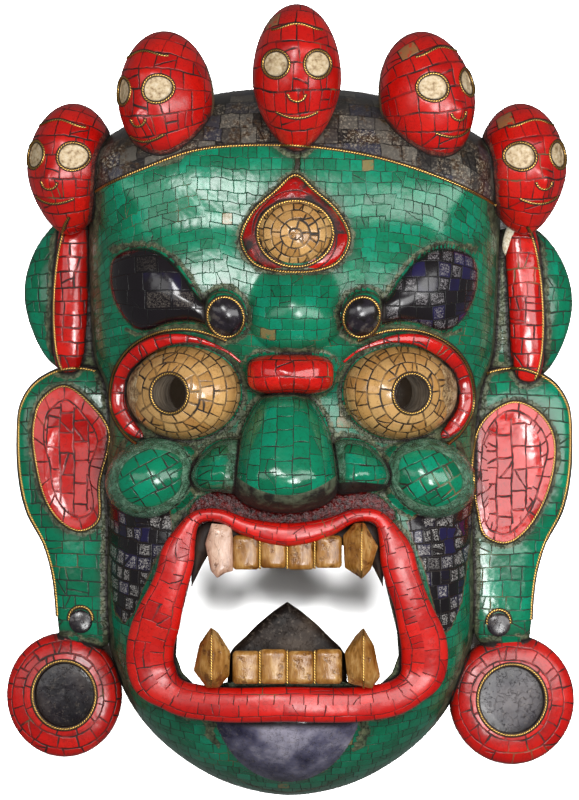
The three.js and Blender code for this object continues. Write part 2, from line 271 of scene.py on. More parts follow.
def base_height(x, y):
    """The face under the raised forms, with the frown, and filler banked up against each form."""
    z = head_height(x, y)
    q = 1 - ((x - FROWN[0]) / 31) ** 2 - ((y - FROWN[1]) / np.where(y > FROWN[1], 36, 27)) ** 2
    z = z + 16 * np.clip(q, 0, None) ** (0.8 + 1.2 * smoothstep(y, 48, 76))
    plain = z
    for form in [*FORMS.values(), *eyes.values()]:
        out = form.outline.outside(x, y)
        near = out < FILLET * 2
        if not near.any():
            continue
        most = 11 if form in eyes.values() else 4
        inside = np.clip(form.height(x, y) - plain - 2, -20, most)
        soft = 2.0 if form in cheeks else 1.0
        bank = plain + np.where(out < 0, inside, inside - 2.2 / soft * out)
        z = np.where(near, smooth_max(z, bank, FILLET * soft), z)
    return z


# ------------------------------------------------------------------ meshes
collection = bpy.context.scene.collection
carved = []  # every piece of the carving, in the order made


class Mesh:
    """Grids of points collected into one object, with a tile map and a number for each vertex."""

    def __init__(self, name):
        self.name = name
        self.points, self.tiles, self.faces, self.slots, self.extra = [], [], [], [], {}
        self.count = 0

    def grid(self, points, tiles, slot=0, closed=True, keep=None, flip=False, **extra):
        """points is rows x columns x 3; tiles has one more column where the rows close."""
        rows, cols = points.shape[:2]
        index = np.arange(rows * cols).reshape(rows, cols)
        if closed:
            index = np.hstack([index, index[:, :1]])
        quads = np.stack([index[:-1, :-1], index[1:, :-1], index[1:, 1:], index[:-1, 1:]], axis=-1)
        corners = np.stack([tiles[:-1, :-1], tiles[1:, :-1], tiles[1:, 1:], tiles[:-1, 1:]], axis=2)
        quads, corners = quads.reshape(-1, 4), corners.reshape(-1, 4, 2)
        if keep is not None:
            kept = keep.ravel()[quads].any(axis=1)
            quads, corners = quads[kept], corners[kept]
        if flip:
            quads, corners = quads[:, ::-1], corners[:, ::-1]
        self.points.append(points.reshape(-1, 3))
        self.faces.append(quads + self.count)
        self.tiles.append(corners.reshape(-1, 2))
        self.slots.append(np.full(len(quads), slot))
        for key, value in extra.items():
            self.extra.setdefault(key, []).append((self.count, np.ravel(value)))
        self.count += rows * cols
        return self

    def make(self, materials):
        points = np.vstack(self.points)
        quads = np.vstack(self.faces)
        used, again = np.unique(quads, return_inverse=True)
        mesh = bpy.data.meshes.new(self.name)
        mesh.vertices.add(len(used))
        mesh.vertices.foreach_set("co", (points[used] * MM).ravel())
        mesh.loops.add(quads.size)
        mesh.loops.foreach_set("vertex_index", again.ravel().astype(np.int32))
        mesh.polygons.add(len(quads))
        mesh.polygons.foreach_set("loop_start", np.arange(0, quads.size, 4, dtype=np.int32))
        mesh.polygons.foreach_set("material_index", np.concatenate(self.slots).astype(np.int32))
        mesh.polygons.foreach_set("use_smooth", np.ones(len(quads), bool))
        mesh.uv_layers.new(name="tile").data.foreach_set("uv", np.vstack(self.tiles).ravel())
        for key, parts in self.extra.items():
            values = np.zeros(len(points))
            for start, part in parts:
                values[start : start + len(part)] = part
            attribute = mesh.attributes.new(key, "FLOAT", "POINT")
            attribute.data.foreach_set("value", values[used].astype(np.float32))
        mesh.update(calc_edges=True)
        for material in materials:
            mesh.materials.append(material)
        piece = bpy.data.objects.new(self.name, mesh)
        collection.objects.link(piece)
        return piece


def carved_piece(made, *materials):
    piece = made.make(materials)
    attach(piece, "root")
    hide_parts("carved_mask")
    carved.append(piece)
    return piece


UNDER_ZERO = 5.0  # what the number "under" reads on the edge of an underside; 0 means there is none


def around(count):
    return np.linspace(0, 2 * math.pi, count, endpoint=False)


def radial_tiles(points, centre, angle, spin=0.0, polar=False, start=0.0):
    """Tile coordinates from the arc length run outwards: flat over a dome, or angle and radius."""
    steps = np.diff(np.concatenate([np.broadcast_to(centre, points[:1].shape), points]), axis=0)
    run = start + np.cumsum(np.linalg.norm(steps, axis=2), axis=0)
    turn = np.append(angle, angle[0] + 2 * math.pi)
    run = np.hstack([run, run[:, :1]])
    if polar:
        return np.stack([np.broadcast_to(turn / (2 * math.pi), run.shape), run], axis=-1)
    x, y = centre[0] + run * np.cos(turn), centre[1] + run * np.sin(turn)
    return np.stack([x * math.cos(spin) - y * math.sin(spin), x * math.sin(spin) + y * math.cos(spin)],
        axis=-1)


def raised(name, form, material, rows, cols, sink=10, under=None, disc=None, margin=None, **mapping):
    """A Boss or Ball as a dome of rings, closed at the middle and carried down into the face."""
    angle = around(cols)
    share = np.sin(np.linspace(0, math.pi / 2, rows + 1))
    share[0] = 0.004
    reach = form.outline.reach(angle)
    x = form.outline.centre[0] + share[:, None] * reach * np.cos(angle)
    y = form.outline.centre[1] + share[:, None] * reach * np.sin(angle)
    z = form.height(x, y)
    points = np.stack([x, y, z], axis=-1)
    skirt = points[-1:] - (0, 0, sink)
    points = np.concatenate([points, skirt])
    middle = (*form.outline.centre, float(z[0].mean()))
    tiles = radial_tiles(points, middle, angle, **mapping)
    below = points[..., 0] * 0 if under is None else under(points[..., 0]) - points[..., 1] + UNDER_ZERO
    extra = {"under": np.clip(below, 0, None)}
    if margin:
        extra["worn"] = 0.8 * smoothstep(form.outline.share(points[..., 0], points[..., 1]), margin,
            margin + 0.16)
    if disc:
        away = disc_outline(form, disc).outside(points[..., 0], points[..., 1])
        extra["disc"] = np.clip(5 - away, 0, None)
    return carved_piece(Mesh(name).grid(points, tiles, **extra), material)


def disc_outline(form, disc):
    """The oval disc let into a curl: disc is how far inwards, how far down, and its two half widths."""
    x, y = form.outline.centre
    s = math.copysign(1, x)
    middle = (x + s * disc[0], y + disc[1])
    return Outline(moved(leaning(disc[2], disc[3], s), 1, *middle), middle)


def tube(path, radii, cols, band, closed=False, start=0.0, blunt=1.0, drop=1.0):
    """Sections round a path, with half width and half height at each point; band is the tile map's round.

    drop deepens the lower half.
    """
    ahead = np.gradient(path, axis=0)
    if closed:
        ahead = np.roll(path, -1, axis=0) - np.roll(path, 1, axis=0)
    side = np.stack([ahead[:, 1], -ahead[:, 0], np.zeros(len(path))], axis=1)
    side /= np.linalg.norm(side, axis=1)[:, None] + 1e-9
    angle = around(cols) + start
    width, height = (np.broadcast_to(r, len(path)) for r in radii)
    across, up = (np.sign(part) * np.abs(part) ** blunt for part in (np.cos(angle), np.sin(angle)))
    up = np.where(up < 0, up * drop, up)
    points = (
        path[:, None]
        + side[:, None] * (width[:, None] * across)[..., None]
        + np.array([0, 0, 1]) * (height[:, None] * up)[..., None]
    )
    run = np.concatenate([[0], np.cumsum(np.linalg.norm(np.diff(path, axis=0), axis=1))])
    v = np.linspace(0, band, cols + 1)
    tiles = np.stack(np.broadcast_arrays(run[:, None], v[None]), axis=-1)
    if closed:
        again = tiles[:1] + [run[-1] + np.linalg.norm(path[0] - path[-1]), 0]
        points, tiles = np.concatenate([points, points[:1]]), np.concatenate([tiles, again])
    return points, tiles


# ------------------------------------------------------------------ shader nodes
class Shader:
    """A material's nodes, written as calls that return the socket they make."""

    def __init__(self, name):
        self.material = bpy.data.materials.new(name)
        self.material.use_nodes = True
        self.tree = self.material.node_tree
        self.surface = self.tree.nodes["Principled BSDF"]
        where = self.node("TexCoord").outputs["Object"]
        self.place = self.scaled(where, 1 / MM)

    def feed(self, socket, value):
        if isinstance(value, bpy.types.NodeSocket):
            self.tree.links.new(value, socket)
        else:
            socket.default_value = value

    def node(self, kind, inputs=(), **settings):
        made = self.tree.nodes.new("ShaderNode" + kind)
        for key, value in settings.items():
            setattr(made, key, value)
        for key, value in dict(inputs).items():
            self.feed(made.inputs[key], value)
        return made

    def math(self, operation, *values):
        return self.node("Math", enumerate(values), operation=operation).outputs[0]

    def plus(self, a, b):
        return self.math("ADD", a, b)

    def times(self, a, b):
        return self.math("MULTIPLY", a, b)

    def scaled(self, vector, scale):
        return self.node("VectorMath", {0: vector, "Scale": scale}, operation="SCALE").outputs[0]

    def moved(self, vector, by):
        return self.node("VectorMath", {0: vector, 1: by}, operation="ADD").outputs[0]

    def split(self, vector):
        return self.node("SeparateXYZ", {0: vector}).outputs[:3]

    def rise(self, value, low, high):
        """0 below low and 1 above high, smoothly."""
        inputs = {"Value": value, "From Min": low, "From Max": high}
        return self.node("MapRange", inputs, interpolation_type="SMOOTHSTEP").outputs[0]

    def fall(self, value, low, high):
        return self.rise(value, high, low)

    def number(self, name):
        return self.node("Attribute", attribute_name=name).outputs["Fac"]

    def noise(self, scale, detail=2.0, rough=0.5, vector=None, colour=False):
        inputs = {"Vector": vector or self.place, "Scale": scale, "Detail": detail, "Roughness": rough}
        return self.node("TexNoise", inputs).outputs["Color" if colour else "Fac"]

    def mix(self, share, a, b, blend="MIX"):
        made = self.node("Mix", {0: share, 6: rgba(a), 7: rgba(b)}, data_type="RGBA", blend_type=blend)
        return made.outputs[2]

    def blend(self, share, a, b):
        return self.node("Mix", {0: share, 2: a, 3: b}).outputs[0]

    def ramp(self, value, stops):
        made = self.node("ValToRGB", {0: value})
        elements = made.color_ramp.elements
        for _ in stops[2:]:
            elements.new(0.5)
        for element, (at, colour) in zip(elements, stops):
            element.position = at
            element.color = rgba(colour)
        return made.outputs[0]

    def finish(self, colour, rough, height=None, depth=1.0, **fixed):
        self.feed(self.surface.inputs["Base Color"], colour)
        self.feed(self.surface.inputs["Roughness"], rough)
        for key, value in fixed.items():
            self.surface.inputs[key.replace("_", " ")].default_value = value
        if height is not None:
            bump = self.node("Bump", {"Height": height, "Distance": depth * MM, "Strength": 1.0})
            self.feed(self.surface.inputs["Normal"], bump.outputs[0])
        return self.material


def rgba(colour):
    """Linear colour from 0 to 255 display values, or a socket passed through."""
    if isinstance(colour, bpy.types.NodeSocket):
        return colour
    return tuple((c / 255) ** 2.2 for c in colour) + (1.0,)


class Tiles:
    """Rows of hand-cut tiles over the tile map: joints, a random colour for each tile, and its tilt."""

    def __init__(self, sh, width, height, polar=False, seed=0.0, loose=0.5, split=0.2, wander=1.0, joint=1.0):
        bend = sh.scaled(sh.moved(sh.noise(0.035, 1, colour=True), (-0.5, -0.5, -0.5)), 4.5 * wander)
        shake = sh.scaled(sh.moved(sh.noise(0.22, 2, colour=True), (-0.5, -0.5, -0.5)), 1.2 * wander)
        tile = sh.node("UVMap", uv_map="tile").outputs[0]
        u, v, _ = sh.split(tile)
        bend_u, bend_v, _ = sh.split(sh.moved(bend, shake))
        down = sh.plus(sh.math("DIVIDE", sh.plus(v, bend_v), height), 0.5 + 31.0 * seed)
        row = sh.node("TexVoronoi", {"W": down, "Scale": 1.0, "Randomness": loose * 0.6},
            voronoi_dimensions="1D")
        gap = sh.node(
            "TexVoronoi", {"W": down, "Scale": 1.0, "Randomness": loose * 0.6},
            voronoi_dimensions="1D", feature="DISTANCE_TO_EDGE",
        )
        row_joint = sh.times(gap.outputs["Distance"], height)
        a, b, c = sh.split(row.outputs["Color"])
        if polar:
            radius = sh.times(sh.plus(row.outputs["W"], -0.5 - 31.0 * seed), height)
            count = sh.math("ROUND", sh.math("MAXIMUM", sh.times(radius, 2 * math.pi / width), 3.0))
            turn = sh.plus(u, sh.plus(b, sh.times(bend_u, 0.006)))
            across = sh.times(sh.math("FRACT", turn), count)
            size = sh.math("DIVIDE", sh.times(sh.math("MAXIMUM", v, 4.0), 2 * math.pi), count)
            size = sh.times(size, sh.plus(sh.fall(v, 1.5, 3.0), 1.0))
        else:
            size = sh.times(sh.plus(sh.times(a, 0.5), 0.75), width)
            across = sh.math("DIVIDE", sh.plus(u, bend_u), size)
        across = sh.plus(across, sh.times(c, 311.0))
        cell = {"W": across, "Scale": 1.0, "Randomness": loose}
        column = sh.node("TexVoronoi", cell, voronoi_dimensions="1D")
        gap = sh.node("TexVoronoi", cell, voronoi_dimensions="1D", feature="DISTANCE_TO_EDGE")
        column_joint = sh.times(gap.outputs["Distance"], size)
        self.first, self.second, self.third = sh.split(column.outputs["Color"])
        x = sh.times(sh.math("SUBTRACT", across, column.outputs["W"]), size)
        y = sh.times(sh.math("SUBTRACT", down, row.outputs["W"]), height)
        lean = sh.times(self.second, 2 * math.pi)
        along = sh.plus(sh.times(x, sh.math("COSINE", lean)), sh.times(y, sh.math("SINE", lean)))
        broken = sh.math("ABSOLUTE", sh.plus(along, sh.plus(sh.times(self.third, 4.0), -2.0)))
        broken = sh.plus(broken, sh.times(sh.math("GREATER_THAN", self.first, split), 50.0))
        self.joint = sh.math("MINIMUM", sh.math("MINIMUM", row_joint, column_joint), broken)
        gape = sh.times(sh.plus(sh.noise(0.07, 3, 0.7), -0.2), joint)
        ragged = sh.plus(self.joint, sh.times(sh.noise(1.1, 2), -0.3 * joint))
        faint = sh.rise(sh.noise(0.1, 3, 0.6), 0.36, 0.58)
        self.crack = sh.times(sh.fall(ragged, sh.times(gape, 0.3), sh.times(gape, 1.9)),
            sh.blend(faint, 0.45, 1.0))
        self.tilt = sh.times(along, sh.plus(sh.times(self.third, 0.02), -0.004))


FILLERS = {  # dark, middle and pale
    "green": ((42, 38, 27), (72, 80, 58), (114, 114, 86)),
    "jade": ((52, 70, 50), (72, 110, 88), (112, 146, 122)),
    "red": ((38, 16, 12), (84, 30, 24), (120, 74, 58)),
    "bone": ((84, 60, 36), (160, 132, 94), (200, 180, 144)),
    "dark": ((22, 17, 15), (44, 38, 33), (96, 88, 78)),
}
# dark brown of joints and dirt specks, also used as painted shade in the creases
SOIL_AND_SHADE = (26, 16, 10)
TAN = (132, 106, 66)


def finish_inlay(sh, colour, rough, tiles, relief=0.0, filler="green", reach=0.66, grime_and_shade=0.45, clear=None,
        polish=0.0,
                 shade=((12, 9, 7), (40, 36, 26))):
    """The joints, dirt with painted shade in the creases, filler against the forms, a painted shadow on undersides
    and bare wood, over a stone colour.
    """
    dark, middle, pale = FILLERS[filler]
    tan = sh.rise(sh.noise(0.03, 2, vector=sh.moved(sh.place, (90, 40, 10))), 0.62, 0.7)
    joint = (10, 8, 8) if filler == "dark" else sh.mix(sh.times(tan, 0.5), SOIL_AND_SHADE, TAN)
    colour = sh.mix(tiles.crack, colour, joint)
    streaks = sh.noise(0.13, 5, 0.7)
    crease = sh.number("crease")
    if clear is not None:
        crease = sh.blend(clear, crease, 0.0)
    ragged = sh.times(sh.plus(streaks, -0.5), 0.5)
    near = sh.plus(sh.plus(crease, ragged), sh.number("worn"))
    # painted shade and dirt: the colour darkens towards each crease, where shade falls
    colour = sh.mix(sh.times(sh.rise(near, 0.25, reach + 0.1), grime_and_shade), colour, dark)
    packed = sh.rise(near, reach, reach + 0.08)
    wisp = sh.noise(0.2, 5, 0.7)
    scratch = sh.fall(sh.math("ABSOLUTE", sh.plus(wisp, -0.5)), 0.0, 0.03)
    glint = sh.fall(sh.math("ABSOLUTE", sh.plus(wisp, -0.6)), 0.0, 0.02)
    paste = sh.ramp(sh.noise(0.16, 4, 0.7), [(0.35, dark), (0.5, middle), (0.68, pale)])
    paste = sh.mix(sh.times(scratch, 0.7), paste, dark)
    paste = sh.mix(sh.times(glint, 0.5), paste, pale)
    colour = sh.mix(sh.times(packed, 0.92), colour, paste)
    # painted shade and dirt: a dark line in the deepest crease, and a painted shadow over each underside
    seam = sh.rise(sh.plus(crease, sh.times(ragged, 0.35)), 0.82, 0.95)
    under = sh.plus(sh.number("under"), -UNDER_ZERO)
    below = sh.rise(under, -0.3, 0.3)
    shadow = sh.ramp(sh.plus(sh.noise(0.12, 4, 0.65), sh.times(under, -0.02)),
        [(0.35, shade[0]), (0.6, shade[1])])
    colour = sh.mix(seam, sh.mix(below, colour, shadow), SOIL_AND_SHADE)
    specks = sh.times(sh.rise(sh.noise(0.8, 3, 0.7), 0.66, 0.74), 0.4)
    colour = sh.mix(specks, colour, SOIL_AND_SHADE)
    bare = sh.rise(sh.plus(sh.number("bare"), sh.times(sh.plus(streaks, -0.5), 0.3)), 0.4, 0.6)
    wood = sh.ramp(sh.noise(0.05, 4, 0.6), [(0.3, (74, 56, 40)), (0.6, (112, 88, 62)), (0.8, (92, 78, 62))])
    colour = sh.mix(bare, colour, wood)
    paste_dull = sh.times(packed, 0.7 * (1 - polish))
    dull = sh.math("MAXIMUM", sh.math("MAXIMUM", tiles.crack, paste_dull), sh.math("MAXIMUM", bare, seam))
    rough = sh.blend(sh.math("MAXIMUM", dull, below), rough, 0.65)
    waves = sh.times(sh.noise(0.1, 2), 0.4)
    ridges = sh.times(sh.times(packed, scratch), -0.25)
    height = sh.plus(sh.plus(sh.times(tiles.crack, -0.3), tiles.tilt),
        sh.plus(sh.plus(waves, ridges), relief))
    return sh.finish(colour, rough, height)


GREENS = [
    (0.0, (0, 76, 52)), (0.3, (0, 100, 70)), (0.6, (2, 114, 82)), (0.85, (8, 126, 96)), (1.0, (52, 136, 116)),
]
REDS = [(0.0, (134, 12, 10)), (0.35, (172, 18, 14)), (0.7, (190, 28, 20)), (0.9, (170, 34, 28)),
    (1.0, (120, 26, 22))]
BONES = [(0.0, (142, 96, 48)), (0.35, (172, 128, 74)), (0.75, (190, 150, 96)), (1.0, (150, 108, 60))]


def stone_colour(sh, tiles, stops, vein, patched=0.015):
    """A colour for each tile, clouded and veined, with the odd tile lost and filled with paste."""
    cloud = sh.noise(0.09, 3, 0.6)
    pick = sh.plus(sh.times(tiles.first, 0.55), sh.times(cloud, 0.5))
    colour = sh.ramp(pick, stops)
    shade = sh.plus(sh.times(tiles.second, 0.26), 0.84)
    colour = sh.mix(1.0, colour, sh.node("CombineColor", {0: shade, 1: shade, 2: shade}).outputs[0],
        "MULTIPLY")
    thread = sh.math("ABSOLUTE", sh.plus(sh.noise(0.14, 5, 0.62), -0.5))
    colour = sh.mix(sh.times(sh.fall(thread, 0.0, 0.016), 0.5), colour, vein)
    lost = sh.times(sh.math("GREATER_THAN", tiles.second, 1 - patched), sh.rise(sh.noise(0.3, 3), 0.3, 0.5))
    return sh.mix(sh.times(lost, 0.8), colour, TAN)


def stone(name, stops, vein, width, height, rough=0.16, finish=None, patched=0.0, **cut):
    sh = Shader(name)
    tiles = Tiles(sh, width, height, **cut)
    colour = stone_colour(sh, tiles, stops, vein, patched)
    gloss = sh.plus(sh.times(sh.noise(0.05, 3), 0.12), rough - 0.06)
    return finish_inlay(sh, colour, gloss, tiles, **(finish or {}))


def turquoise(name, width=13.5, height=9.5, **settings):
    return stone(name, GREENS, (26, 40, 30), width, height, **settings)


def coral(name, width=11.0, height=9.0, reach=0.84, **settings):
    return stone(name, REDS, (72, 10, 8), width, height, finish={"filler": "red", "reach": reach}, **settings)


def bone_tiles(name, width=9.5, height=9.0, **settings):
    finish = {"filler": "bone", "reach": 0.8, "grime_and_shade": 0.3}
    return stone(name, BONES, (92, 60, 26), width, height, finish=finish, joint=1.2, **settings)


def lapis_colour(sh, tiles, figured=0.5, silver=(150, 148, 142), blue=0.5):
    """Charcoal and deep blue squares, some of them figured with fine silver scrawls."""
    cloud = sh.noise(0.06, 3)
    pick = sh.plus(sh.times(tiles.second, 0.6), sh.times(cloud, 0.4))
    ground = sh.ramp(pick, [(0.0, (18, 15, 17)), (1 - blue, (28, 24, 28)), (1.1 - blue, (30, 26, 52)),
        (1.0, (38, 34, 78))])
    bent = sh.moved(sh.place, sh.scaled(sh.noise(0.5, 2, colour=True), 3.0))
    scrawl = sh.math("ABSOLUTE", sh.plus(sh.noise(0.9, 1, vector=bent), -0.5))
    line = sh.times(sh.fall(scrawl, 0.03, 0.1), sh.rise(sh.noise(0.9, 2), 0.35, 0.55))
    chosen = sh.rise(tiles.third, 1 - figured - 0.02, 1 - figured + 0.02)
    inset = sh.rise(tiles.joint, 0.8, 1.6)
    line = sh.times(sh.times(line, chosen), inset)
    return sh.mix(line, ground, silver)


def lapis(name, width=10.5, height=10.5, figured=0.5, rough=0.2, blue=0.4, silver=(150, 148, 142), **cut):
    sh = Shader(name)
    tiles = Tiles(sh, width, height, loose=0.25, split=0.05, wander=0.6, **cut)
    colour = lapis_colour(sh, tiles, figured, silver, blue)
    gloss = sh.plus(sh.times(sh.noise(0.08, 2), 0.12), rough - 0.06)
    return finish_inlay(sh, colour, gloss, tiles, filler="dark", reach=0.95)


def slate(name, dark, middle, pale, rough, shine=0.5):
    """One polished dark stone without joints, clouded and a little dusty."""
    sh = Shader(name)
    cloud = sh.noise(0.035, 4, 0.55)
    colour = sh.ramp(cloud, [(0.36, dark), (0.5, middle), (0.66, pale)])
    dust = sh.times(sh.rise(sh.noise(0.4, 4, 0.75), 0.52, 0.68), 0.35)
    colour = sh.mix(dust, colour, (110, 100, 90))
    scratch = sh.fall(sh.math("ABSOLUTE", sh.plus(sh.noise(0.12, 4, 0.7), -0.5)), 0.0, 0.008)
    colour = sh.mix(sh.times(scratch, 0.6), colour, (22, 16, 14))
    # painted shade and dirt: darker in the creases
    colour = sh.mix(sh.rise(sh.plus(sh.number("crease"), sh.times(cloud, 0.3)), 0.7, 1.1), colour, SOIL_AND_SHADE)
    gloss = sh.plus(sh.times(sh.noise(0.15, 3), 0.2), rough - 0.1)
    height = sh.plus(sh.times(sh.noise(0.09, 3), 0.4), sh.times(scratch, -0.2))
    return sh.finish(colour, gloss, height, Specular_IOR_Level=shine)


def face_material():
    """Turquoise, with the crown band, the dark cheek panels and the gums told apart by distance."""
    sh = Shader("face_inlay")
    tiles = Tiles(sh, 8.8, 7.8, joint=0.45, wander=0.8, split=0.15)
    squares = Tiles(sh, 9.0, 9.0, seed=0.4, loose=0.25, split=0.05, wander=0.6)
    green = stone_colour(sh, tiles, GREENS, (26, 40, 30))
    dark = lapis_colour(sh, squares, 0.6, silver=(158, 154, 150), blue=0.4)
    dusty = sh.rise(sh.noise(0.045, 4, 0.65), 0.35, 0.6)
    speckle = sh.times(sh.rise(sh.noise(0.6, 5, 0.8), 0.5, 0.6), dusty)
    slates = Tiles(sh, 14, 11, seed=0.7, joint=0.8)
    ground = sh.ramp(slates.first,
        [(0.1, (34, 31, 31)), (0.4, (58, 54, 51)), (0.6, (48, 48, 60)), (0.75, (84, 80, 74))])
    ground = sh.mix(sh.rise(sh.noise(0.09, 4, 0.7), 0.5, 0.64), ground, (60, 44, 30))
    slate_band = sh.mix(sh.times(speckle, sh.plus(sh.times(slates.second, 0.8), 0.15)), ground,
        (166, 156, 138))
    slate_band = sh.mix(sh.times(slates.crack, 0.9), slate_band, (14, 10, 8))
    edge = sh.times(sh.plus(sh.noise(0.25, 3), -0.5), 3.0)
    crown = sh.rise(sh.plus(sh.number("crown"), sh.times(edge, 0.2)), -0.4, 0.4)
    panel = sh.rise(sh.plus(sh.number("panel"), edge), -0.4, 0.4)
    gum = sh.rise(sh.plus(sh.number("gum"), sh.times(edge, 2.0)), -1.5, 1.5)
    flesh = sh.ramp(sh.noise(0.3, 4, 0.7), [(0.35, (22, 8, 7)), (0.55, (78, 12, 11)), (0.8, (140, 24, 20))])
    colour = sh.mix(crown, sh.mix(panel, green, dark), slate_band)
    colour = sh.mix(gum, colour, flesh)
    margin = sh.fall(sh.math("ABSOLUTE", sh.plus(sh.number("panel"), edge)), 0.3, 1.0)
    colour = sh.mix(sh.times(margin, 0.8), colour, (90, 74, 52))
    x, y, _ = sh.split(sh.place)
    beside = sh.math("ABSOLUTE", sh.plus(sh.plus(x, -4.2), sh.times(edge, 1.3)))
    split = sh.times(sh.fall(beside, 1.2, 2.6), sh.times(sh.rise(y, 136, 140), sh.fall(y, 158, 164)))
    colour = sh.mix(split, colour, (44, 36, 26))
    plain = sh.math("MAXIMUM", gum, crown)
    tiles.crack = sh.times(sh.blend(panel, tiles.crack, squares.crack), sh.math("SUBTRACT", 1.0, plain))
    tiles.tilt = sh.blend(panel, tiles.tilt, squares.tilt)
    gloss = sh.plus(sh.times(sh.noise(0.05, 3), 0.12), sh.plus(sh.times(plain, 0.12), 0.17))
    flaws = sh.plus(sh.times(sh.times(gum, sh.noise(0.4, 3)), 2.0), sh.times(split, -1.5))
    guarded = sh.math("MAXIMUM", sh.math("MAXIMUM", plain, panel), 0.0)
    return finish_inlay(sh, colour, gloss, tiles, relief=flaws, clear=sh.times(guarded, 0.75))


def wood_material(name, dark, middle, pale):
    sh = Shader(name)
    x, y, z = sh.split(sh.place)
    grain = sh.node("CombineXYZ", {0: sh.times(x, 0.3), 1: sh.times(y, 0.02), 2: sh.times(z, 0.3)}).outputs[0]
    fibres = sh.noise(1.0, 5, 0.6, vector=grain)
    colour = sh.ramp(fibres, [(0.3, dark), (0.5, middle), (0.7, pale)])
    gouges = sh.noise(0.07, 2)
    colour = sh.mix(sh.times(sh.rise(gouges, 0.5, 0.7), 0.5), colour, dark)
    # painted shade and dirt: darker in the creases
    colour = sh.mix(sh.times(sh.number("crease"), 0.6), colour, SOIL_AND_SHADE)
    height = sh.plus(sh.times(fibres, 0.6), sh.times(gouges, 1.6))
    return sh.finish(colour, 0.7, height)


def brass_material():
    sh = Shader("brass_wire")
    groove = sh.number("groove")
    tarnish = sh.rise(sh.noise(0.06, 3), 0.45, 0.7)
    bright = sh.mix(sh.times(tarnish, 0.6), (226, 178, 92), (128, 92, 46))
    # dirt and painted shade: the grooves between the strands are painted dark and lose their metal shine
    colour = sh.mix(sh.rise(groove, 0.2, 0.6), bright, (36, 22, 10))
    sh.feed(sh.surface.inputs["Metallic"], sh.fall(groove, 0.3, 0.7))
    return sh.finish(colour, 0.34)


def paste_material():
    sh = Shader("dark_paste")
    colour = sh.ramp(sh.noise(0.5, 3, 0.7), [(0.35, (26, 17, 11)), (0.6, (54, 38, 26)), (0.75, (96, 74, 50))])
    return sh.finish(colour, 0.6)


def tooth_material(name="tooth_bone", dark=(104, 64, 24), middle=(142, 98, 46), pale=(176, 136, 82)):
    sh = Shader(name)
    x, y, z = sh.split(sh.place)
    along = sh.node("CombineXYZ", {0: x, 1: sh.times(y, 0.3), 2: z}).outputs[0]
    fibre = sh.noise(0.35, 4, 0.6, vector=along)
    cloud = sh.noise(0.07, 3, 0.55)
    colour = sh.ramp(sh.plus(sh.times(fibre, 0.45), sh.times(cloud, 0.55)),
        [(0.36, dark), (0.5, middle), (0.64, pale)])
    stain = sh.rise(sh.noise(0.11, 4, 0.65), 0.54, 0.66)
    colour = sh.mix(sh.times(stain, 0.7), colour, (74, 38, 14))
    split = sh.fall(sh.math("ABSOLUTE", sh.plus(sh.noise(0.09, 3, vector=along), -0.42)), 0.0, 0.006)
    colour = sh.mix(sh.times(split, 0.5), colour, (60, 34, 16))
    grey = sh.times(sh.rise(sh.noise(0.5, 4, 0.75), 0.58, 0.7), 0.35)
    colour = sh.mix(grey, colour, (54, 38, 26))
    return sh.finish(colour, sh.plus(sh.times(cloud, 0.3), 0.08),
        sh.plus(sh.times(stain, -0.3), sh.times(fibre, 0.3)))


def plaster_material():
    sh = Shader("broken_plaster")
    colour = sh.ramp(sh.noise(0.5, 4, 0.7),
        [(0.3, (176, 150, 112)), (0.5, (224, 212, 186)), (0.7, (240, 232, 214))])
    return sh.finish(colour, 0.75, sh.times(sh.noise(0.6, 4, 0.7), 1.4))


# ------------------------------------------------------------------ the face
green_cheek = turquoise("turquoise_cheek", 12, 10, seed=0.2, split=0.3,
                        finish={"filler": "jade", "reach": 0.5, "polish": 0.9})
green_slab = turquoise("turquoise_slab", 12.0, 8.5, seed=0.6, joint=0.7)
red_rings = coral("coral_rings", 11.5, 8.25, polar=True, loose=0.3, rough=0.26)
bare_wood = wood_material("bare_wood", (66, 46, 32), (112, 84, 56), (140, 112, 80))
dark_wood = wood_material("dark_wood", (24, 15, 10), (52, 33, 21), (84, 58, 38))
rough_wood = wood_material("rough_wood", (92, 76, 60), (142, 126, 106), (176, 162, 142))
brass = brass_material()

MOUTH = mirrored([
    (0, -85), (33.5, -85), (35, -77), (53, -77), (57, -95), (69, -145), (70, -160), (66, -171),
    (58, -178.8), (39, -178.8), (38, -176), (0, -176),
])
MOUTH_CENTRE = (DRIFT["mouth"], -132)
mouth = Outline(moved(MOUTH, 1, DRIFT["mouth"]), MOUTH_CENTRE, smooth=False)
CROWN_EDGE = catmull(
    [(-150, 108), (-124, 131), (-90, 147), (-57, 158), (0, 160.5), (40, 156), (69, 149), (105, 136),
    (134, 121),
     (150, 112)], closed=False,
)
ARCH = 0.0019  # how the rows of tiles on the forehead follow the crown band
PANELS = [
    Outline([(-117, -56), (-97, -58), (-76, -64), (-74, -82), (-84, -98), (-92, -116), (-99, -134),
    (-105, -140),
             (-111, -132), (-115, -100)], (-98, -95), smooth=False),
    Outline([(73, -76), (88, -64), (104, -58), (116, -54), (115, -80), (111, -105), (108, -126), (101, -143),
             (95, -146), (90, -128), (84, -105)], (98, -95), smooth=False),
]
gums = Outline([(-64, -68), (-44, -54), (0, -46), (40, -54), (60, -62), (66, -74), (40, -88), (0, -92),
    (-44, -88)],
               (0, -70))


def snap(outline, x, y):
    """Points inside the outline move out on to it, which gives a cut edge its true line."""
    share = np.minimum(outline.share(x, y), 1)
    return outline.centre[0] + (x - outline.centre[0]) / share, outline.centre[1] + (y - outline.centre[1]) / share


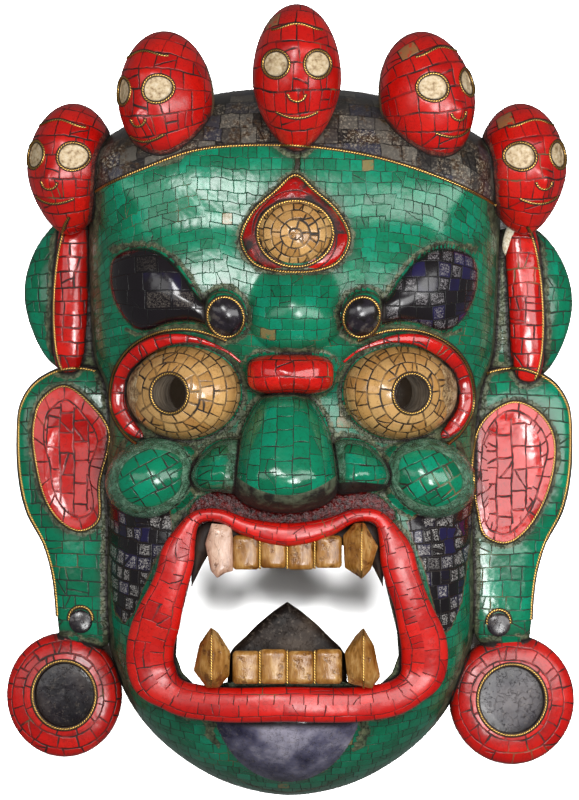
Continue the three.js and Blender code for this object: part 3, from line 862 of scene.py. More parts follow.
def sheet_of(outline, height, columns, rows, cuts):
    """Rings from the middle to the outline, evenly spaced over the surface, with each cut left open."""
    angle = around(columns)
    share = np.sin(np.linspace(0, math.pi / 2, 400))[:, None]
    share[0] = 0.002
    reach = share * outline.reach(angle)
    x = outline.centre[0] + reach * np.cos(angle)
    y = outline.centre[1] + reach * np.sin(angle)
    z = height(x, y)
    run = np.cumsum(np.hypot(np.diff(reach, axis=0, prepend=0), np.diff(z, axis=0, prepend=z[:1])), axis=0)
    at = np.linspace(run[0], run[-1], rows + 1)
    reach = np.stack([np.interp(at[:, i], run[:, i], reach[:, i]) for i in range(columns)], axis=1)
    x = outline.centre[0] + reach * np.cos(angle)
    y = outline.centre[1] + reach * np.sin(angle)
    keep = np.ones(x.shape, bool)
    for cut in cuts:
        keep &= cut.share(x, y) > 1
        x, y = snap(cut, x, y)
    turn = np.append(angle, 2 * math.pi)
    wide = np.hstack([at, at[:, :1]])
    tiles = np.stack([wide * np.cos(turn), wide * np.sin(turn)], axis=-1)
    return np.stack([x, y, height(x, y)], axis=-1), tiles, keep


PUPIL = {"x": 76, "y": 5, "z": 116, "radius": 12.5, "lean": math.radians(15)}


def bore(s, height, count=64):
    """The pupil hole's edge on the surface height: points round the leaning bore."""
    angle = around(count)
    lean = np.array([s * math.sin(PUPIL["lean"]), 0, math.cos(PUPIL["lean"])])
    flat = np.array([math.cos(PUPIL["lean"]), 0, -s * math.sin(PUPIL["lean"])])
    ring = PUPIL["radius"] * (np.cos(angle)[:, None] * flat + np.sin(angle)[:, None] * np.array([0, 1, 0]))
    start = np.array([s * PUPIL["x"], PUPIL["y"], PUPIL["z"]]) + ring
    points = start
    for _ in range(12):
        slide = (height(points[:, 0], points[:, 1]) - points[:, 2]) / lean[2]
        points = points + slide[:, None] * lean
    return points


def face():
    around_pupils = [Outline(ellipse(16, 16), (0, 0)) for _ in SIDES]
    for hole, s in zip(around_pupils, SIDES.values()):
        hole.centre = np.array([s * 73.0, 5.0])
    points, tiles, keep = sheet_of(head_outline, base_height, 640, 148, [mouth, *around_pupils])
    x, y, z = np.moveaxis(points, -1, 0)
    arch = ARCH * x**2 * smoothstep(y, 10, 120)
    tiles[..., 1] += np.hstack([arch, arch[:, :1]])
    panel = -np.minimum(*(p.outside(x, y) for p in PANELS))
    made = Mesh("face").grid(
        points, tiles, keep=keep,
        crown=y - np.interp(x, *CROWN_EDGE.T), panel=panel, gum=-gums.outside(x, y), bare=1.1 - z / 7,
        worn=0.45 * smoothstep(head_outline.share(x, y), 0.78, 1.0),
    )
    return carved_piece(made, face_material())


def back():
    """The hollow behind the face, the rim it lies on, and the walls of its holes."""
    holes = [bore(s, hollow_height) for s in SIDES.values()]
    columns = 240
    cuts = [mouth] + [Outline(hole[:, :2], hole[:, :2].mean(axis=0)) for hole in holes]
    points, tiles, keep = sheet_of(hollow_outline, hollow_height, columns, 80, cuts)
    made = Mesh("hollow_back").grid(points, tiles, keep=keep, flip=True)
    angle = around(columns)
    rings = []
    for share in np.linspace(0, 1, 5):
        reach = hollow_outline.reach(angle) * (1 - share) + head_outline.reach(angle) * share
        rings.append(np.stack([reach * np.cos(angle), reach * np.sin(angle), reach * 0], axis=-1))
    rim = np.stack(rings) + [*HEAD_CENTRE, 0]
    made.grid(rim, rim[:, list(range(columns)) + [0], :2], flip=True)
    edge = even(np.array(moved(MOUTH, 1, DRIFT["mouth"])), 1.5, closed=True)[::-1]
    top, low = head_height(*edge.T) + 3, hollow_height(*edge.T)
    share = np.linspace(0, 1, 16)[:, None]
    wall = np.stack(np.broadcast_arrays(edge[:, 0], edge[:, 1], top * (1 - share) + low * share), axis=-1)
    made.grid(wall, wall[:, list(range(len(edge))) + [0]][..., 1:])
    for (side, s), hole in zip(SIDES.items(), holes):
        rim = bore(s, eyes[side].height)
        wall = rim * (1 - share[..., None]) + hole * share[..., None]
        made.grid(wall, wall[:, list(range(64)) + [0]][..., 1:], slot=1, flip=True)
    return carved_piece(made, bare_wood, rough_wood)


face()
back()


# ------------------------------------------------------------------ brows, eyes, nose and cheeks
raised("third_eye_rim", FORMS["third_eye_rim"],
    coral("coral_teardrop", 12, 9.5, reach=0.93, seed=0.3, split=0.1), 30, 120,
       polar=True)
raised("third_eye", FORMS["third_eye"],
    bone_tiles("bone_third_eye", 7.5, 6.0, polar=True, seed=0.5, split=0.3), 26, 96,
       polar=True)
raised("nose", FORMS["nose"], turquoise("turquoise_nose", 11, 10.5, seed=0.9, joint=0.6,
       finish={"reach": 0.72, "shade": ((24, 22, 16), (86, 94, 74))}), 60, 180, spin=math.pi / 2,
       under=lambda x: -58.5 + 0.0121 * (x - DRIFT["nose"]) ** 2)
raised("nose_roll", FORMS["nose_roll"], coral("coral_roll", 11, 11, seed=0.7), 30, 120)
raised("goatee", FORMS["goatee"], slate("slate_goatee", (34, 32, 54), (84, 82, 102), (150, 146, 160), 0.16),
    36, 140)
brow_dark = lapis("lapis_brow_left", 13, 12, 0.1, rough=0.18, blue=0.25, silver=(84, 78, 72), seed=0.3,
    joint=0.5)
brow_figured = lapis("lapis_brow_right", 9.5, 9.5, 0.5, rough=0.26, silver=(118, 114, 116), seed=0.8,
    joint=0.7)
CURL_DISC = (-0.9, -1.7, 12.6, 11.2)


def curl_material():
    """A turquoise knob with a dark disc let into its lower side."""
    sh = Shader("brow_curl")
    tiles = Tiles(sh, 9.5, 9.0, seed=0.3)
    disc = sh.rise(sh.number("disc"), 4.9, 5.1)
    dark = sh.ramp(sh.noise(0.12, 4, 0.65), [(0.35, (20, 16, 16)), (0.55, (36, 32, 38)), (0.7, (82, 76, 72))])
    colour = sh.mix(disc, stone_colour(sh, tiles, GREENS, (26, 40, 30)), dark)
    tiles.crack = sh.times(tiles.crack, sh.math("SUBTRACT", 1.0, disc))
    return finish_inlay(sh, colour, sh.plus(sh.times(sh.noise(0.1, 2), 0.1), 0.16), tiles)


knob = curl_material()
for side in SIDES:
    raised("brow_" + side, FORMS["brow_" + side], brow_dark if side == "left" else brow_figured, 36, 140)
    raised("brow_curl_" + side, FORMS["brow_curl_" + side], knob, 30, 96, disc=CURL_DISC)
    raised("nose_wing_" + side, FORMS["nose_wing_" + side], green_cheek, 36, 100, margin=0.8,
           under=lambda x: -50 - 0.1 * np.abs(x - 40))
    raised("cheek_" + side, FORMS["cheek_" + side], green_cheek, 40, 140, margin=0.62, spin=-s * 0.5)

LID = [(-36, 20), (-26, 27.5), (-5, 34.5), (13, 33.5), (30, 24.5), (39.5, 9), (40.5, -8), (34, -20),
    (26, -27)]
lid_paths = {}


def eye(side, s, material, lid_material):
    form = eyes[side]
    rim = bore(s, form.height, 120)
    away = rim[:, :2] - [s * PUPIL["x"], PUPIL["y"]]
    angle = np.arctan2(away[:, 1], away[:, 0])
    edge = form.outline.centre + form.outline.reach(angle)[:,
        None] * np.stack([np.cos(angle), np.sin(angle)], 1)
    share = np.sin(np.linspace(0, math.pi / 2, 30))[:, None, None]
    flat = rim[:, :2] * (1 - share) + edge * share
    points = np.concatenate([flat, form.height(flat[..., 0], flat[..., 1])[..., None]], axis=2)
    points = np.concatenate([points, points[-1:] - [0, 0, 12]])
    tiles = radial_tiles(points, points[0], around(120), polar=True, start=PUPIL["radius"])
    outwards = s * (points[..., 0] - s * PUPIL["x"]) - 0.25 * np.abs(points[..., 1] - PUPIL["y"])
    carved_piece(Mesh("eye_" + side).grid(points, tiles, worn=0.9 * smoothstep(outwards, 14, 20)), material)
    x, y = np.array(moved(LID, s, s * EYE["x"] + DRIFT["eyes"], EYE["y"])).T
    z = np.maximum(head_height(x, y) + 8, EYE["z"] - 8)
    path = even(catmull(np.stack([x, y, z], axis=1), closed=False), 1.2)
    lid_paths[side] = path
    left_over = np.linspace(1, 0, len(path))
    full = smoothstep(np.linspace(0, 1, len(path)), 0.05, 0.5) * np.sqrt(np.clip(left_over / 0.08, 0, 1))
    points, tiles = tube(path, (0.8 + 3.9 * full, 1.0 + 2.4 * full), 36, band=27.0, start=math.pi / 6,
        blunt=0.7)
    carved_piece(Mesh("lid_" + side).grid(points, tiles), lid_material)


eye_bone = bone_tiles("bone_eye", 9.5, 9.5, polar=True, loose=0.35, split=0.25, wander=0.6)
red_band = coral("coral_band", 9.5, 9.0, loose=0.35, seed=0.2)
for side, s in SIDES.items():
    eye(side, s, eye_bone, red_band)


# ------------------------------------------------------------------ the mouth
LIPS = mirrored([
    (0, -83.5), (25, -79), (43, -71.5), (57, -73), (66, -88), (72, -110), (80, -133), (86, -155),
    (84, -172), (71, -184.5), (45, -190), (0, -190),
])
TONGUE = [(0, -126), (9, -132), (19.3, -140.6), (26.5, -148), (33.5, -154.5), (37, -160), (38, -186)]


def lips():
    flat = np.array(moved(LIPS, 1, DRIFT["mouth"]))
    path = even(catmull(np.column_stack([flat, head_height(*flat.T) + 4])), 1.6, closed=True)
    full = smoothstep(-path[:, 1], 68, 100)
    path[:, 2] += 2 + 5 * full
    width = 4 + 7 * full + 4 * smoothstep(np.abs(path[:, 0]), 74, 86)
    points, tiles = tube(path, (width, 6 + full), 64, band=66.0, closed=True, start=math.pi / 2, blunt=0.8,
        drop=2.4)
    carved_piece(Mesh("lips").grid(points, tiles),
        coral("coral_lips", 12, 9, loose=0.35, joint=0.6, rough=0.3, seed=0.4))


def tongue():
    outline = Outline(moved(mirrored(TONGUE), 1, DRIFT["mouth"]), (DRIFT["mouth"], -162), smooth=False)
    angle = around(160)
    rings = []
    for share, z in [(0.01, 90), (0.5, 89.8), (0.8, 89.2), (0.94, 88), (1, 86), (1, 80), (1, 75), (0.9, 74),
        (0.01, 74)]:
        reach = share * outline.reach(angle)
        rings.append(np.stack([reach * np.cos(angle), reach * np.sin(angle), reach * 0 + z], axis=-1))
    points = np.stack(rings) + [*outline.centre, 0]
    tiles = points[:, list(range(160)) + [0], :2]
    carved_piece(Mesh("tongue").grid(points, tiles),
        slate("slate_tongue", (20, 15, 12), (38, 30, 25), (66, 56, 48), 0.4, 0.12))


def gum():
    """The dark wood of the upper jaw, seen between the teeth and the lip."""
    ridge = [(-62, -116), (-57, -94), (-51, -81), (-36, -84), (0, -88), (33, -84), (48, -81), (53, -94),
        (58, -116)]
    path = even(catmull(np.column_stack([ridge, np.full(len(ridge), 90.0)]), closed=False), 1.5)
    ends = np.clip(np.minimum(np.arange(len(path)), np.arange(len(path))[::-1]) / 16, 0.05, 1)
    points, tiles = tube(path, (6.5 * ends, 9 * ends), 30, band=45.0)
    carved_piece(Mesh("gum_ridge").grid(points, tiles), dark_wood)


lips()
tongue()
gum()


# ------------------------------------------------------------------ ears, flares and earrings
EAR = [
    (104, 10), (122, 20), (140, 23), (154, 19.5), (166, 11.5), (174, -2), (176, -22), (175, -48), (170, -70),
    (158.5, -92), (152.5, -112), (150, -132), (147, -153), (120, -155), (104, -110), (102, -40),
]
EAR_BACK, EAR_FRONT = 8, 40
EAR_PANELS = {
    "left": [(-143, 9), (-157, 0), (-162, -18), (-160, -39), (-154, -62), (-145, -75), (-133, -81),
    (-122, -75),
             (-121, -51), (-115, -20), (-127, -2)],
    "right": [(141, -1), (157, -8), (166, -24), (162, -56), (148, -81), (136, -88.5), (123, -84), (119, -70),
              (115.5, -35), (122, -13)],
}
FLARE = [
    (116, 100), (132, 112), (148, 112), (160, 102), (170, 84), (173.5, 64), (169, 42), (157, 21), (140, 12),
    (116, 20),
]
EARRING = {"x": 141.5, "z": (4, 38), "left": (-185.5, 36.5, 39.3), "right": (-188.5, 39.5, 41)}
LEAN = 0.16  # how the ears, flares and earrings slope back outwards
DISC_SHARE = 0.54


def slab(name, outline, low, high, material, rows=36, columns=180, dish=None, polar=False, hollow=0.0,
        lean=0.0,
         rim=0.33):
    """A board with a rounded rim: front, rim and back in one shell; lean slopes the front outwards."""
    angle = around(columns)
    across = np.sin(np.linspace(math.asin(max(hollow, 0.004)), math.pi / 2, rows))
    middle = low + (high - low) * 0.35
    rings = []
    for share, face_z in [(u, high) for u in across] + [(u, low) for u in across[::-2]]:
        reach = share * outline.reach(angle)
        x, y = outline.centre[0] + reach * np.cos(angle), outline.centre[1] + reach * np.sin(angle)
        slope = lean * (np.abs(x) - abs(outline.centre[0])) * (face_z == high)
        z = middle + (face_z - slope - middle) * max(0, 1 - share**2) ** rim
        if dish is not None and face_z == high:
            inside = dish.outline.share(x, y) < 1
            z = np.where(inside, np.minimum(z, 2 * dish.centre[2] - dish.height(x, y) - slope), z)
        rings.append(np.stack([x, y, z], axis=-1))
    points = np.stack(rings)
    middle = points[0] if hollow else points[0].mean(axis=0)
    tiles = radial_tiles(points, middle, angle, polar=polar, start=hollow * float(outline.reach(0.0)))
    bare = np.zeros(points.shape[:2])
    bare[rows + 2:] = 1
    return carved_piece(Mesh(name).grid(points, tiles, bare=bare), material)


def on_top(x, y, pieces):
    """Height of the highest of the pieces under each point."""
    heights = []
    for px, py in zip(np.ravel(x), np.ravel(y)):
        best = 0.0
        for tree, low, high in pieces:
            if low[0] <= px * MM <= high[0] and low[1] <= py * MM <= high[1]:
                hit = tree.ray_cast(Vector((px * MM, py * MM, 0.3)), Vector((0, 0, -1)))[0]
                best = max(best, hit.z / MM) if hit else best
        heights.append(best)
    return np.reshape(heights, np.shape(x))


def solid_tree(piece):
    bpy.context.view_layer.update()
    points = np.array([v.co for v in piece.data.vertices])
    tree = BVHTree.FromObject(piece, bpy.context.evaluated_depsgraph_get())
    return tree, points.min(axis=0), points.max(axis=0)


def ear_panel(side, ear):
    """The red panel laid in the ear: a band of tiles round its edge, and rows inside it."""
    centre = np.mean(EAR_PANELS[side], axis=0)
    outline = Outline(EAR_PANELS[side], centre)
    angle = around(140)
    reach = outline.reach(angle)
    trees = [solid_tree(ear)]
    bands = [np.linspace(0, 9.5, 7), np.linspace(9.5, 1, 14)]
    run = np.concatenate([[0], np.cumsum(np.hypot(*np.diff(outline.ring(0, 140), axis=0,
        append=outline.ring(0, 140)[:1]).T))])
    made = Mesh("ear_panel_" + side)
    outer = np.stack([reach - step for step in bands[0]])
    inner = (reach - 9.5) * np.linspace(1, 0.01, 14)[:, None]
    for index, away in enumerate([outer, inner]):
        x, y = centre[0] + away * np.cos(angle), centre[1] + away * np.sin(angle)
        z = on_top(x, y, trees) + 0.4
        points = np.stack([x, y, z], axis=-1)
        if index == 0:
            tiles = np.stack(np.broadcast_arrays(run[None], bands[0][:, None] * 0.94), axis=-1)
        else:
            tiles = points[:, list(range(140)) + [0]][..., 1::-1]
        made.grid(points[::-1], tiles[::-1])
    carved_piece(made, coral("coral_ear_" + side, 13, 9.0, loose=0.4, seed=0.3 if side == "left" else 0.6))
    return outline


panels = {}
earring_dark = {
    "left": slate("slate_disc_left", (20, 17, 22), (34, 29, 34), (56, 49, 48), 0.2),
    # painted sheen: the right disc's stone is a paler copy of the left's dark stone, standing in for the key
    # light's sheen
    "right": slate("slate_disc_right_painted_sheen", (26, 23, 28), (48, 44, 50), (80, 74, 76), 0.3),
}
for side, s in SIDES.items():
    dish = Ball((s * 138 + DRIFT["ears"], -38, EAR_FRONT + 3), (25, 46, 6), turn=s * 0.08)
    ear_outline = Outline(moved(EAR, s, DRIFT["ears"]), (s * 138, -50))
    ear = slab("ear_" + side, ear_outline, EAR_BACK, EAR_FRONT, green_slab, rows=46, columns=240, dish=dish,
        lean=LEAN, rim=0.14)
    panels[side] = ear_panel(side, ear)
    rise = 4 if s < 0 else -2
    flare_outline = Outline(moved(FLARE, s, DRIFT["flares"], rise), (s * 143, 62))
    slab("flare_" + side, flare_outline, EAR_BACK, 38, green_slab, lean=LEAN)
    ridge = Ball((s * 143 + DRIFT["flares"], 66 + rise, 36), (11.5, 52, 8), turn=s * 0.05, blunt=3.2)
    raised("flare_ridge_" + side, ridge, coral("coral_ridge_" + side, 12, 9, seed=0.1 if s < 0 else 0.8), 30,
        120)
    y, *half = EARRING[side]
    centre = (s * EARRING["x"] - 1.5, y)
    ring = Outline(ellipse(*half, 24), (0, 0))
    ring.centre = np.array(centre)
    slab("earring_" + side, ring, *EARRING["z"], red_rings, polar=True, hollow=DISC_SHARE, lean=LEAN,
        rim=0.14)
    rings = []
    for share, z in [(0.01, 35.4), (0.5, 35.3), (0.9, 35.0), (1.01, 34.6)]:
        flat = (ring.ring(0, 120) - centre) * DISC_SHARE * share
        rings.append(np.column_stack([flat + centre, z - LEAN * s * flat[:, 0]]))
    points = np.stack(rings)
    disc_mesh = Mesh("earring_disc_" + side).grid(points, points[:, list(range(120)) + [0], :2])
    carved_piece(disc_mesh, earring_dark[side])


# ------------------------------------------------------------------ the crown of skulls
SKULLS = [{"x": 0, "y": 202.5, "z": 97, "half": (28, 47, 33), "yaw": 0, "tilt": 0}]
for s in SIDES.values():
    SKULLS.append({"x": s * 82, "y": 188, "z": 80, "half": (29, 45, 33), "yaw": s * 34,
        "tilt": 3 if s < 0 else 9})
    SKULLS.append({"x": s * 142, "y": 146.5, "z": 54, "half": (27, 41.5, 33), "yaw": s * 24, "tilt": s * 3})
SOCKET = (13, 0.18, 8.2, 8.6)  # across, share of the height, half width and half height


def skull_frame(skull):
    yaw, tilt = math.radians(skull["yaw"]), math.radians(skull["tilt"])
    turn_y = np.array([[math.cos(yaw), 0, math.sin(yaw)], [0, 1, 0], [-math.sin(yaw), 0, math.cos(yaw)]])
    turn_z = np.array([[math.cos(tilt), -math.sin(tilt), 0], [math.sin(tilt), math.cos(tilt), 0], [0, 0, 1]])
    return turn_z @ turn_y, np.array([skull["x"] + DRIFT["crown"], skull["y"], skull["z"]])


def skull_surface(skull, u, v, w):
    """A point of the skull for a point of the unit ball, and how far inside an eye socket it lies."""
    a, b, c = skull["half"]
    jaw = 1 - 0.28 * np.clip(-v, 0, None) ** 1.5
    x, y, z = a * u * jaw, b * v, c * w * jaw
    front = w > 0
    z = z + np.where(front, 4.6 * np.exp(-((x / 5.2) ** 2) - ((y + 0.21 * b) / 7.5) ** 2), 0)
    z = z + np.where(front, 1.6 * np.exp(-((x / 15) ** 4) - ((y - 0.45 * b) / 5) ** 2), 0)
    across, up, wide, tall = SOCKET
    inside = np.hypot((np.abs(x) - across) / wide, (y - up * b) / tall)
    z = np.where(front, z - 2.6 * (1 - smoothstep(inside, 0.86, 1.02)), z)
    return x, y, z, np.where(front, 1 - inside, -1)


def skull_piece(index, skull):
    columns, rows = 132, 84
    angle = around(columns)
    lean = np.linspace(0.004, math.pi - 0.004, rows)[:, None]
    u, v, w = np.sin(lean) * np.cos(angle), np.sin(lean) * np.sin(angle), np.cos(lean) + 0 * angle
    x, y, z, socket = skull_surface(skull, u, v, w)
    turn, place = skull_frame(skull)
    local = np.stack([x, y, z], axis=-1)
    points = local @ turn.T + place
    around_front = np.append(angle, 2 * math.pi)
    run = np.broadcast_to(lean * 34, (rows, columns + 1))
    tiles = np.stack([run * np.cos(around_front), run * np.sin(around_front)], axis=-1)
    made = Mesh(f"skull_{index + 1}").grid(points, tiles, socket=socket, bare=smoothstep(-w, 0.1, 0.6))
    return carved_piece(made, skull_material)


def skull_stone():
    """Coral tiles, with the eye sockets filled by pale discs."""
    sh = Shader("coral_skull")
    tiles = Tiles(sh, 14, 11.0, seed=0.15, split=0.3)
    red = stone_colour(sh, tiles, REDS, (92, 14, 12))
    pale = sh.ramp(sh.noise(0.35, 4, 0.65),
        [(0.3, (120, 92, 60)), (0.5, (190, 168, 132)), (0.75, (216, 202, 176))])
    disc = sh.rise(sh.number("socket"), 0.0, 0.06)
    tiles.crack = sh.times(tiles.crack, sh.math("SUBTRACT", 1.0, disc))
    gloss = sh.plus(sh.times(sh.noise(0.05, 3), 0.16), sh.plus(sh.times(disc, 0.3), 0.2))
    return finish_inlay(sh, sh.mix(disc, red, pale), gloss, tiles, filler="red")


skull_material = skull_stone()
for index, skull in enumerate(SKULLS):
    skull_piece(index, skull)


# ------------------------------------------------------------------ painted shade and dirt in the creases
CREASE_REACH = 14 * MM


def creases():
    """Each piece's vertices learn how near the next piece lies in front of them, 1 where they touch."""
    trees = [(piece, *solid_tree(piece)) for piece in carved]
    for piece in carved:
        mesh = piece.data
        points, normals = np.empty((2, len(mesh.vertices) * 3), np.float32)
        mesh.vertices.foreach_get("co", points)
        mesh.vertices.foreach_get("normal", normals)
        points, normals = points.reshape(-1, 3), normals.reshape(-1, 3)
        nearest = np.full(len(points), CREASE_REACH)
        for other, tree, low, high in trees:
            if other is piece or other.name == "hollow_back":
                continue
            near = ((points > low - CREASE_REACH) & (points < high + CREASE_REACH)).all(axis=1)
            for i in np.flatnonzero(near):
                found, _, _, distance = tree.find_nearest(Vector(points[i]), nearest[i])
                if found is not None and np.dot(found - Vector(points[i]), normals[i]) > -0.6 * distance:
                    nearest[i] = distance
        crease = mesh.attributes.new("crease", "FLOAT", "POINT")
        crease.data.foreach_set("value", (1 - nearest / CREASE_REACH).astype(np.float32))


creases()


# ------------------------------------------------------------------ brass wires
WIRE = {"radius": 0.85, "pitch": 1.7, "step": 0.42, "sides": 8}
surfaces = [solid_tree(piece) for piece in carved]


def laid(flat, closed=False, spacing=2.0, sunk=0.0):
    """A line seen from the front, laid on whatever carving is under it."""
    flat = even(np.asarray(flat, float), spacing, closed)
    return np.column_stack([flat, on_top(*flat.T, surfaces) + WIRE["radius"] * 0.35 - sunk])


def wire(made, path, closed=False, radius=WIRE["radius"], pitch=WIRE["pitch"]):
    """Two strands twisted together along the path."""
    path = even(path, WIRE["step"], closed)
    ahead = np.roll(path, -1, axis=0) - np.roll(path, 1, axis=0) if closed else np.gradient(path, axis=0)
    ahead /= np.linalg.norm(ahead, axis=1)[:, None] + 1e-9
    side = np.cross(ahead, [0, 0, 1])
    side /= np.linalg.norm(side, axis=1)[:, None] + 1e-9
    up = np.cross(side, ahead)
    angle = around(WIRE["sides"])
    turn = np.arange(len(path))[:, None] * WIRE["step"] * math.pi / pitch
    lobe = np.abs(np.cos(angle - turn))
    reach = radius * (0.42 + 0.58 * lobe)
    points = (
        path[:, None] + (reach * np.cos(angle))[..., None] * side[:, None]
        + (reach * np.sin(angle))[..., None] * up[:, None]
    )
    groove = 1 - lobe
    if closed:
        points, groove = np.concatenate([points, points[:1]]), np.concatenate([groove, groove[:1]])
    tiles = np.zeros((len(points), WIRE["sides"] + 1, 2))
    tiles[..., 0] = np.arange(len(points))[:, None] * WIRE["step"]
    tiles[..., 1] = np.arange(WIRE["sides"] + 1) * 0.6
    made.grid(points, tiles, groove=groove)


def bedded(made, path, closed=False, radius=WIRE["radius"]):
    """A wire with the dark paste that it is set in."""
    wire(made, path, closed, radius)
    path = even(path, 2.4, closed) - [0, 0, 0.35 * radius]
    points, tiles = tube(path, (1.7 * radius, 0.5), 8, 9.0, closed=closed)
    bed.grid(points, tiles)


for side, (x, y) in {"left": (-132.5, -139), "right": (131.5, -141)}.items():
    raised("ear_drop_" + side, Ball((x, y, 38.5), (7.4, 7.4, 1.2)), earring_dark["left"], 12, 48)
CHIP = [(134, 96), (136, 108), (141, 115), (145, 111), (148, 113), (150, 104), (147, 98), (148, 91),
    (142, 93), (138, 90)]
chip = Ball((142, 102, 36.5), (8, 12, 4))
chip.outline = Outline(CHIP, (142, 102))
raised("broken_edge", chip, plaster_material(), 10, 60)
face_wires, ear_wires, skull_wires = Mesh("face_wires"), Mesh("ear_wires"), Mesh("skull_wires")
bed = Mesh("wire_paste")
crown_line = CROWN_EDGE[(CROWN_EDGE[:, 0] > -124) & (CROWN_EDGE[:, 0] < 130)]
bedded(face_wires, laid(crown_line))
bedded(face_wires, laid(FORMS["third_eye_rim"].outline.ring(1.0), True), True)
bedded(face_wires, laid(FORMS["third_eye"].outline.ring(-0.8), True), True)
for side, s in SIDES.items():
    bedded(face_wires, bore(s, eyes[side].height, 90) + [0, 0, 0.3], True)
    outer = lid_paths[side]
    along = np.gradient(outer, axis=0)[:, :2]
    along /= np.linalg.norm(along, axis=1)[:, None]
    away = np.column_stack([-along[:, 1], along[:, 0]]) * (5.8 if s > 0 else -5.8)
    bedded(face_wires, laid((outer[:, :2] + away)[12:]))
    bedded(face_wires, laid(disc_outline(FORMS["brow_curl_" + side], CURL_DISC).ring(), True), True)
    ear_line = Outline(moved(EAR, s, DRIFT["ears"]), (s * 138, -50)).ring(-2.0)
    outside_line = ear_line[(np.abs(ear_line[:, 0]) > 122) & (ear_line[:, 1] > -145)]
    start = int(np.argmax(np.linalg.norm(np.diff(outside_line, axis=0, append=outside_line[:1]), axis=1)))
    bedded(ear_wires, laid(np.roll(outside_line, -start - 1, axis=0)))
    bedded(ear_wires, laid(panels[side].ring(0.6), True), True)
    rise = 4 if s < 0 else -2
    turned = [(s * 144 + DRIFT["flares"] + s * 10.2 * math.cos(t) - 50 * math.sin(t) * s * 0.05,
               64 + rise + 50 * math.sin(t)) for t in np.linspace(-1.3, 1.3, 40)]
    bedded(ear_wires, laid(turned))
    y, *half = EARRING[side]
    rim = np.array(ellipse(*half, 80)) * (DISC_SHARE + 0.01) + (s * EARRING["x"] - 1.5, y)
    bedded(ear_wires, laid(rim, True), True)
    drop_y, drop_x = (-137, -132.5) if s < 0 else (-139, 131.5)
    arc = [(drop_x + 7.5 * math.cos(t), drop_y + 7.5 * math.sin(t)) for t in np.linspace(-0.2, math.pi + 0.2,
        30)]
    bedded(ear_wires, laid(arc))


def on_skull(skull, x, y):
    """Points of the skull's front over local x and y."""
    a, b, c = skull["half"]
    v = y / b
    jaw = 1 - 0.28 * np.clip(-v, 0, None) ** 1.5
    u = x / (a * jaw)
    w = np.sqrt(np.clip(1 - u**2 - v**2, 0.02, None))
    local = np.stack([x, y, skull_surface(skull, u, v, w)[2] + 0.3], axis=-1)
    turn, place = skull_frame(skull)
    return local @ turn.T + place


for skull in SKULLS:
    a, b, c = skull["half"]
    across, up, wide, tall = SOCKET
    t = np.linspace(0, 2 * math.pi, 60, endpoint=False)
    for s in SIDES.values():
        bedded(skull_wires, on_skull(skull, s * across + wide * 1.02 * np.cos(t),
            up * b + tall * 1.02 * np.sin(t)), True,
             radius=0.7)
    t = np.linspace(-1, 1, 40)
    bedded(skull_wires, on_skull(skull, t * 16, 0.68 * b + 2 * np.cos(t * 3)), radius=0.7)
    bedded(skull_wires, on_skull(skull, t * 13, -0.45 * b - 4 * (1 - t**2)), radius=0.7)
    t = np.linspace(0.15, math.pi - 0.15, 30)
    bedded(skull_wires, on_skull(skull, 5.6 * np.cos(t + math.pi), -0.2 * b + 5.6 * np.sin(t + math.pi)),
        radius=0.7)
for made in (face_wires, ear_wires, skull_wires):
    carved_piece(made, brass)
carved_piece(bed, paste_material())


# ------------------------------------------------------------------ teeth
PITCH = 17.2
INCISORS = {"upper": (-84, -105), "lower": (-177, -156)}
FANGS = {
    "upper_fang_right": {"ridge": 44.6, "points": [
        (33, -84), (40, -76.5), (46.3, -75.9), (54.9, -90.9), (50.3, -105.5), (44.8, -111.2), (34, -104.1)]},
    "upper_fang_left": {"ridge": None, "points": [
        (-49.5, -76.5), (-37, -77.7), (-36, -86.3), (-36, -106.3), (-41, -107.5), (-45.9, -110.8),
        (-50, -106),
        (-53.5, -89.4)]},
    "lower_fang_left": {"ridge": -49.5, "points": [
        (-60.8, -168.6), (-57.1, -152), (-50, -141.6), (-45.4, -145), (-37.8, -157), (-38.5, -172),
        (-45, -179.4),
        (-52.6, -179.4)]},
    "lower_fang_right": {"ridge": 45.8, "points": [
        (34, -157.4), (41.1, -146.6), (45.8, -142.1), (52.4, -152.9), (56.4, -172.3), (51, -180),
        (36, -176.3)]},
}


def tooth(name, points, material, ridge=None, top=108.0, rise=9.0, base=90.0):
    """A bone tooth with worn edges: pillowed, or in two facets that meet on a ridge."""
    centre = np.mean(points, axis=0)
    outline = Outline(even(np.asarray(points, float), 0.8, True), centre, smooth=False)
    columns = 84
    angle = around(columns)
    rings = []
    for share in np.sin(np.linspace(0.01, math.pi / 2, 26)):
        reach = share * outline.reach(angle)
        x, y = centre[0] + reach * np.cos(angle), centre[1] + reach * np.sin(angle)
        if ridge is None:
            z = top - 0.02 * (x - centre[0]) ** 2 + 0 * y
        else:
            z = top + rise * (1 - np.abs(x - ridge) / 12) * smoothstep(1 - share, -0.2, 0.35)
        rings.append(np.stack([x, y, z - 2.4 * share**9], axis=-1))
    for z in (base + 2, base):
        rings.append(np.stack([x, y, 0 * x + z], axis=-1))
    rings.append(rings[-1] * [0.02, 0.02, 1] + [*(centre * 0.98), 0])
    points = np.stack(rings)
    made = Mesh(name + "_bone").grid(points, points[:, list(range(columns)) + [0], :2])
    piece = made.make([material])
    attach(piece, "root")
    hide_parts(name)
    return piece


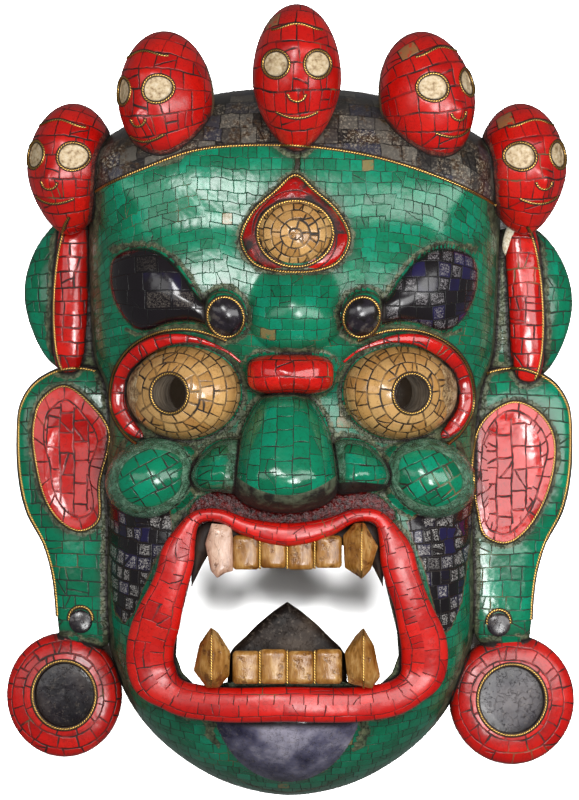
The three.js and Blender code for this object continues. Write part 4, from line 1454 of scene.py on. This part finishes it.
tooth_bone = tooth_material()
pale_bone = tooth_material("tooth_bone_pale", (150, 112, 90), (186, 150, 128), (204, 176, 156))
tooth_wires = Mesh("tooth_wires")
for jaw, (root, edge) in INCISORS.items():
    for index in range(4):
        x = (index - 1.5) * PITCH + DRIFT["mouth"]
        low, high = sorted((root, edge + (0.6 if index % 2 else -0.4)))
        half = PITCH / 2 - 0.15
        cut = 1.6
        corners = [(x - half, low + cut), (x - half, high - cut), (x - half + cut, high),
            (x + half - cut, high),
                   (x + half, high - cut), (x + half, low + cut), (x + half - cut, low),
                   (x - half + cut, low)]
        tooth(f"{jaw}_incisor_{index + 1}", corners, tooth_bone)
    for x in (-PITCH, 0, PITCH):
        line = np.array([(x + DRIFT["mouth"], y, 106.6) for y in np.linspace(root, edge, 20)])
        wire(tooth_wires, line, radius=0.8)
for name, fang in FANGS.items():
    tooth(name, fang["points"], pale_bone if fang["ridge"] is None else tooth_bone, fang["ridge"])
    if fang["ridge"] is not None:
        low, high = (float(v) for v in (min(y for _, y in fang["points"]), max(y for _, y in fang["points"])))
        run = np.linspace(low + 0.6, high - 0.6, 40)
        height = 108.4 + 8 * np.clip(np.minimum(run - low, high - run) / 5.5, 0, 1) ** 0.6
        wire(tooth_wires, np.column_stack([run * 0 + fang["ridge"], run, height]), radius=0.8)
carved_piece(tooth_wires, brass)


# ------------------------------------------------------------------ floor, light and camera
def floor():
    mesh = bpy.data.meshes.new("floor")
    mesh.from_pydata([(-3, -3, 0), (3, -3, 0), (3, 3, 0), (-3, 3, 0)], [], [(0, 1, 2, 3)])
    sh = Shader("pale_floor")
    mesh.materials.append(sh.finish(sh.ramp(sh.noise(0.004, 2),
        [(0, (244, 244, 244)), (1, (250, 250, 250))]), 0.9))
    made = bpy.data.objects.new("floor", mesh)
    collection.objects.link(made)
    made.visible_diffuse = made.visible_glossy = False
    made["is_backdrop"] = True
    return made


def softbox(name, place, size, power, only=None, never=None):
    """An area light aimed at the mask; it may light one object only, or all but one."""
    light = bpy.data.lights.new(name, "AREA")
    light.shape = "RECTANGLE"
    light.size, light.size_y = size
    light.energy = power
    made = bpy.data.objects.new(name, light)
    made.location = place
    made.rotation_euler = (Vector((0, 0, 0.08)) - Vector(place)).to_track_quat("-Z", "Y").to_euler()
    made.visible_camera = False
    collection.objects.link(made)
    if only or never:
        lit = bpy.data.collections.new(name + "_lights")
        lit.objects.link(only or never)
        made.light_linking.receiver_collection = lit
        if never:
            lit.collection_objects[0].light_linking.link_state = "EXCLUDE"


ground = floor()
softbox("key_box", (0.5, 0.05, 0.9), (0.4, 0.9), 7)
softbox("first_lamp", (-0.4, 0.62, 2.9), (0.5, 0.75), 32, never=ground)
softbox("second_lamp", (0.42, -0.6, 2.9), (0.5, 0.75), 34, never=ground)
softbox("left_box", (-1.2, 0.2, 1.6), (0.6, 1.2), 5)
for index, place in enumerate([(-1.3, 0.9, 3.6), (1.3, 0.9, 3.6), (0.0, -1.7, 3.6), (0.0, 1.9, 3.6)]):
    softbox(f"floor_lamp_{index}", place, (0.8, 0.8), 340, only=ground)

world = bpy.data.worlds.new("studio")
bpy.context.scene.world = world
world.use_nodes = True
world.node_tree.nodes["Background"].inputs["Color"].default_value = (1, 1, 1, 1)
world.node_tree.nodes["Background"].inputs["Strength"].default_value = 0.18
bpy.context.scene.view_settings.view_transform = "Standard"

VIEW_HEIGHT = 0.504  # metres from top to bottom of the picture, at the height of the ears
CAMERA_HEIGHT = 9.0
camera = bpy.data.cameras.new("camera")
camera.sensor_width = 36
camera.lens = 36 * (CAMERA_HEIGHT - 0.06) / VIEW_HEIGHT
seen_from = bpy.data.objects.new("camera", camera)
seen_from.location = (-0.0006, 0.0009, CAMERA_HEIGHT)
collection.objects.link(seen_from)
bpy.context.scene.camera = seen_from

low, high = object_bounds()
{"cad": [list(cad_low), list(cad_high)], "visual": [list(low), list(high)]}
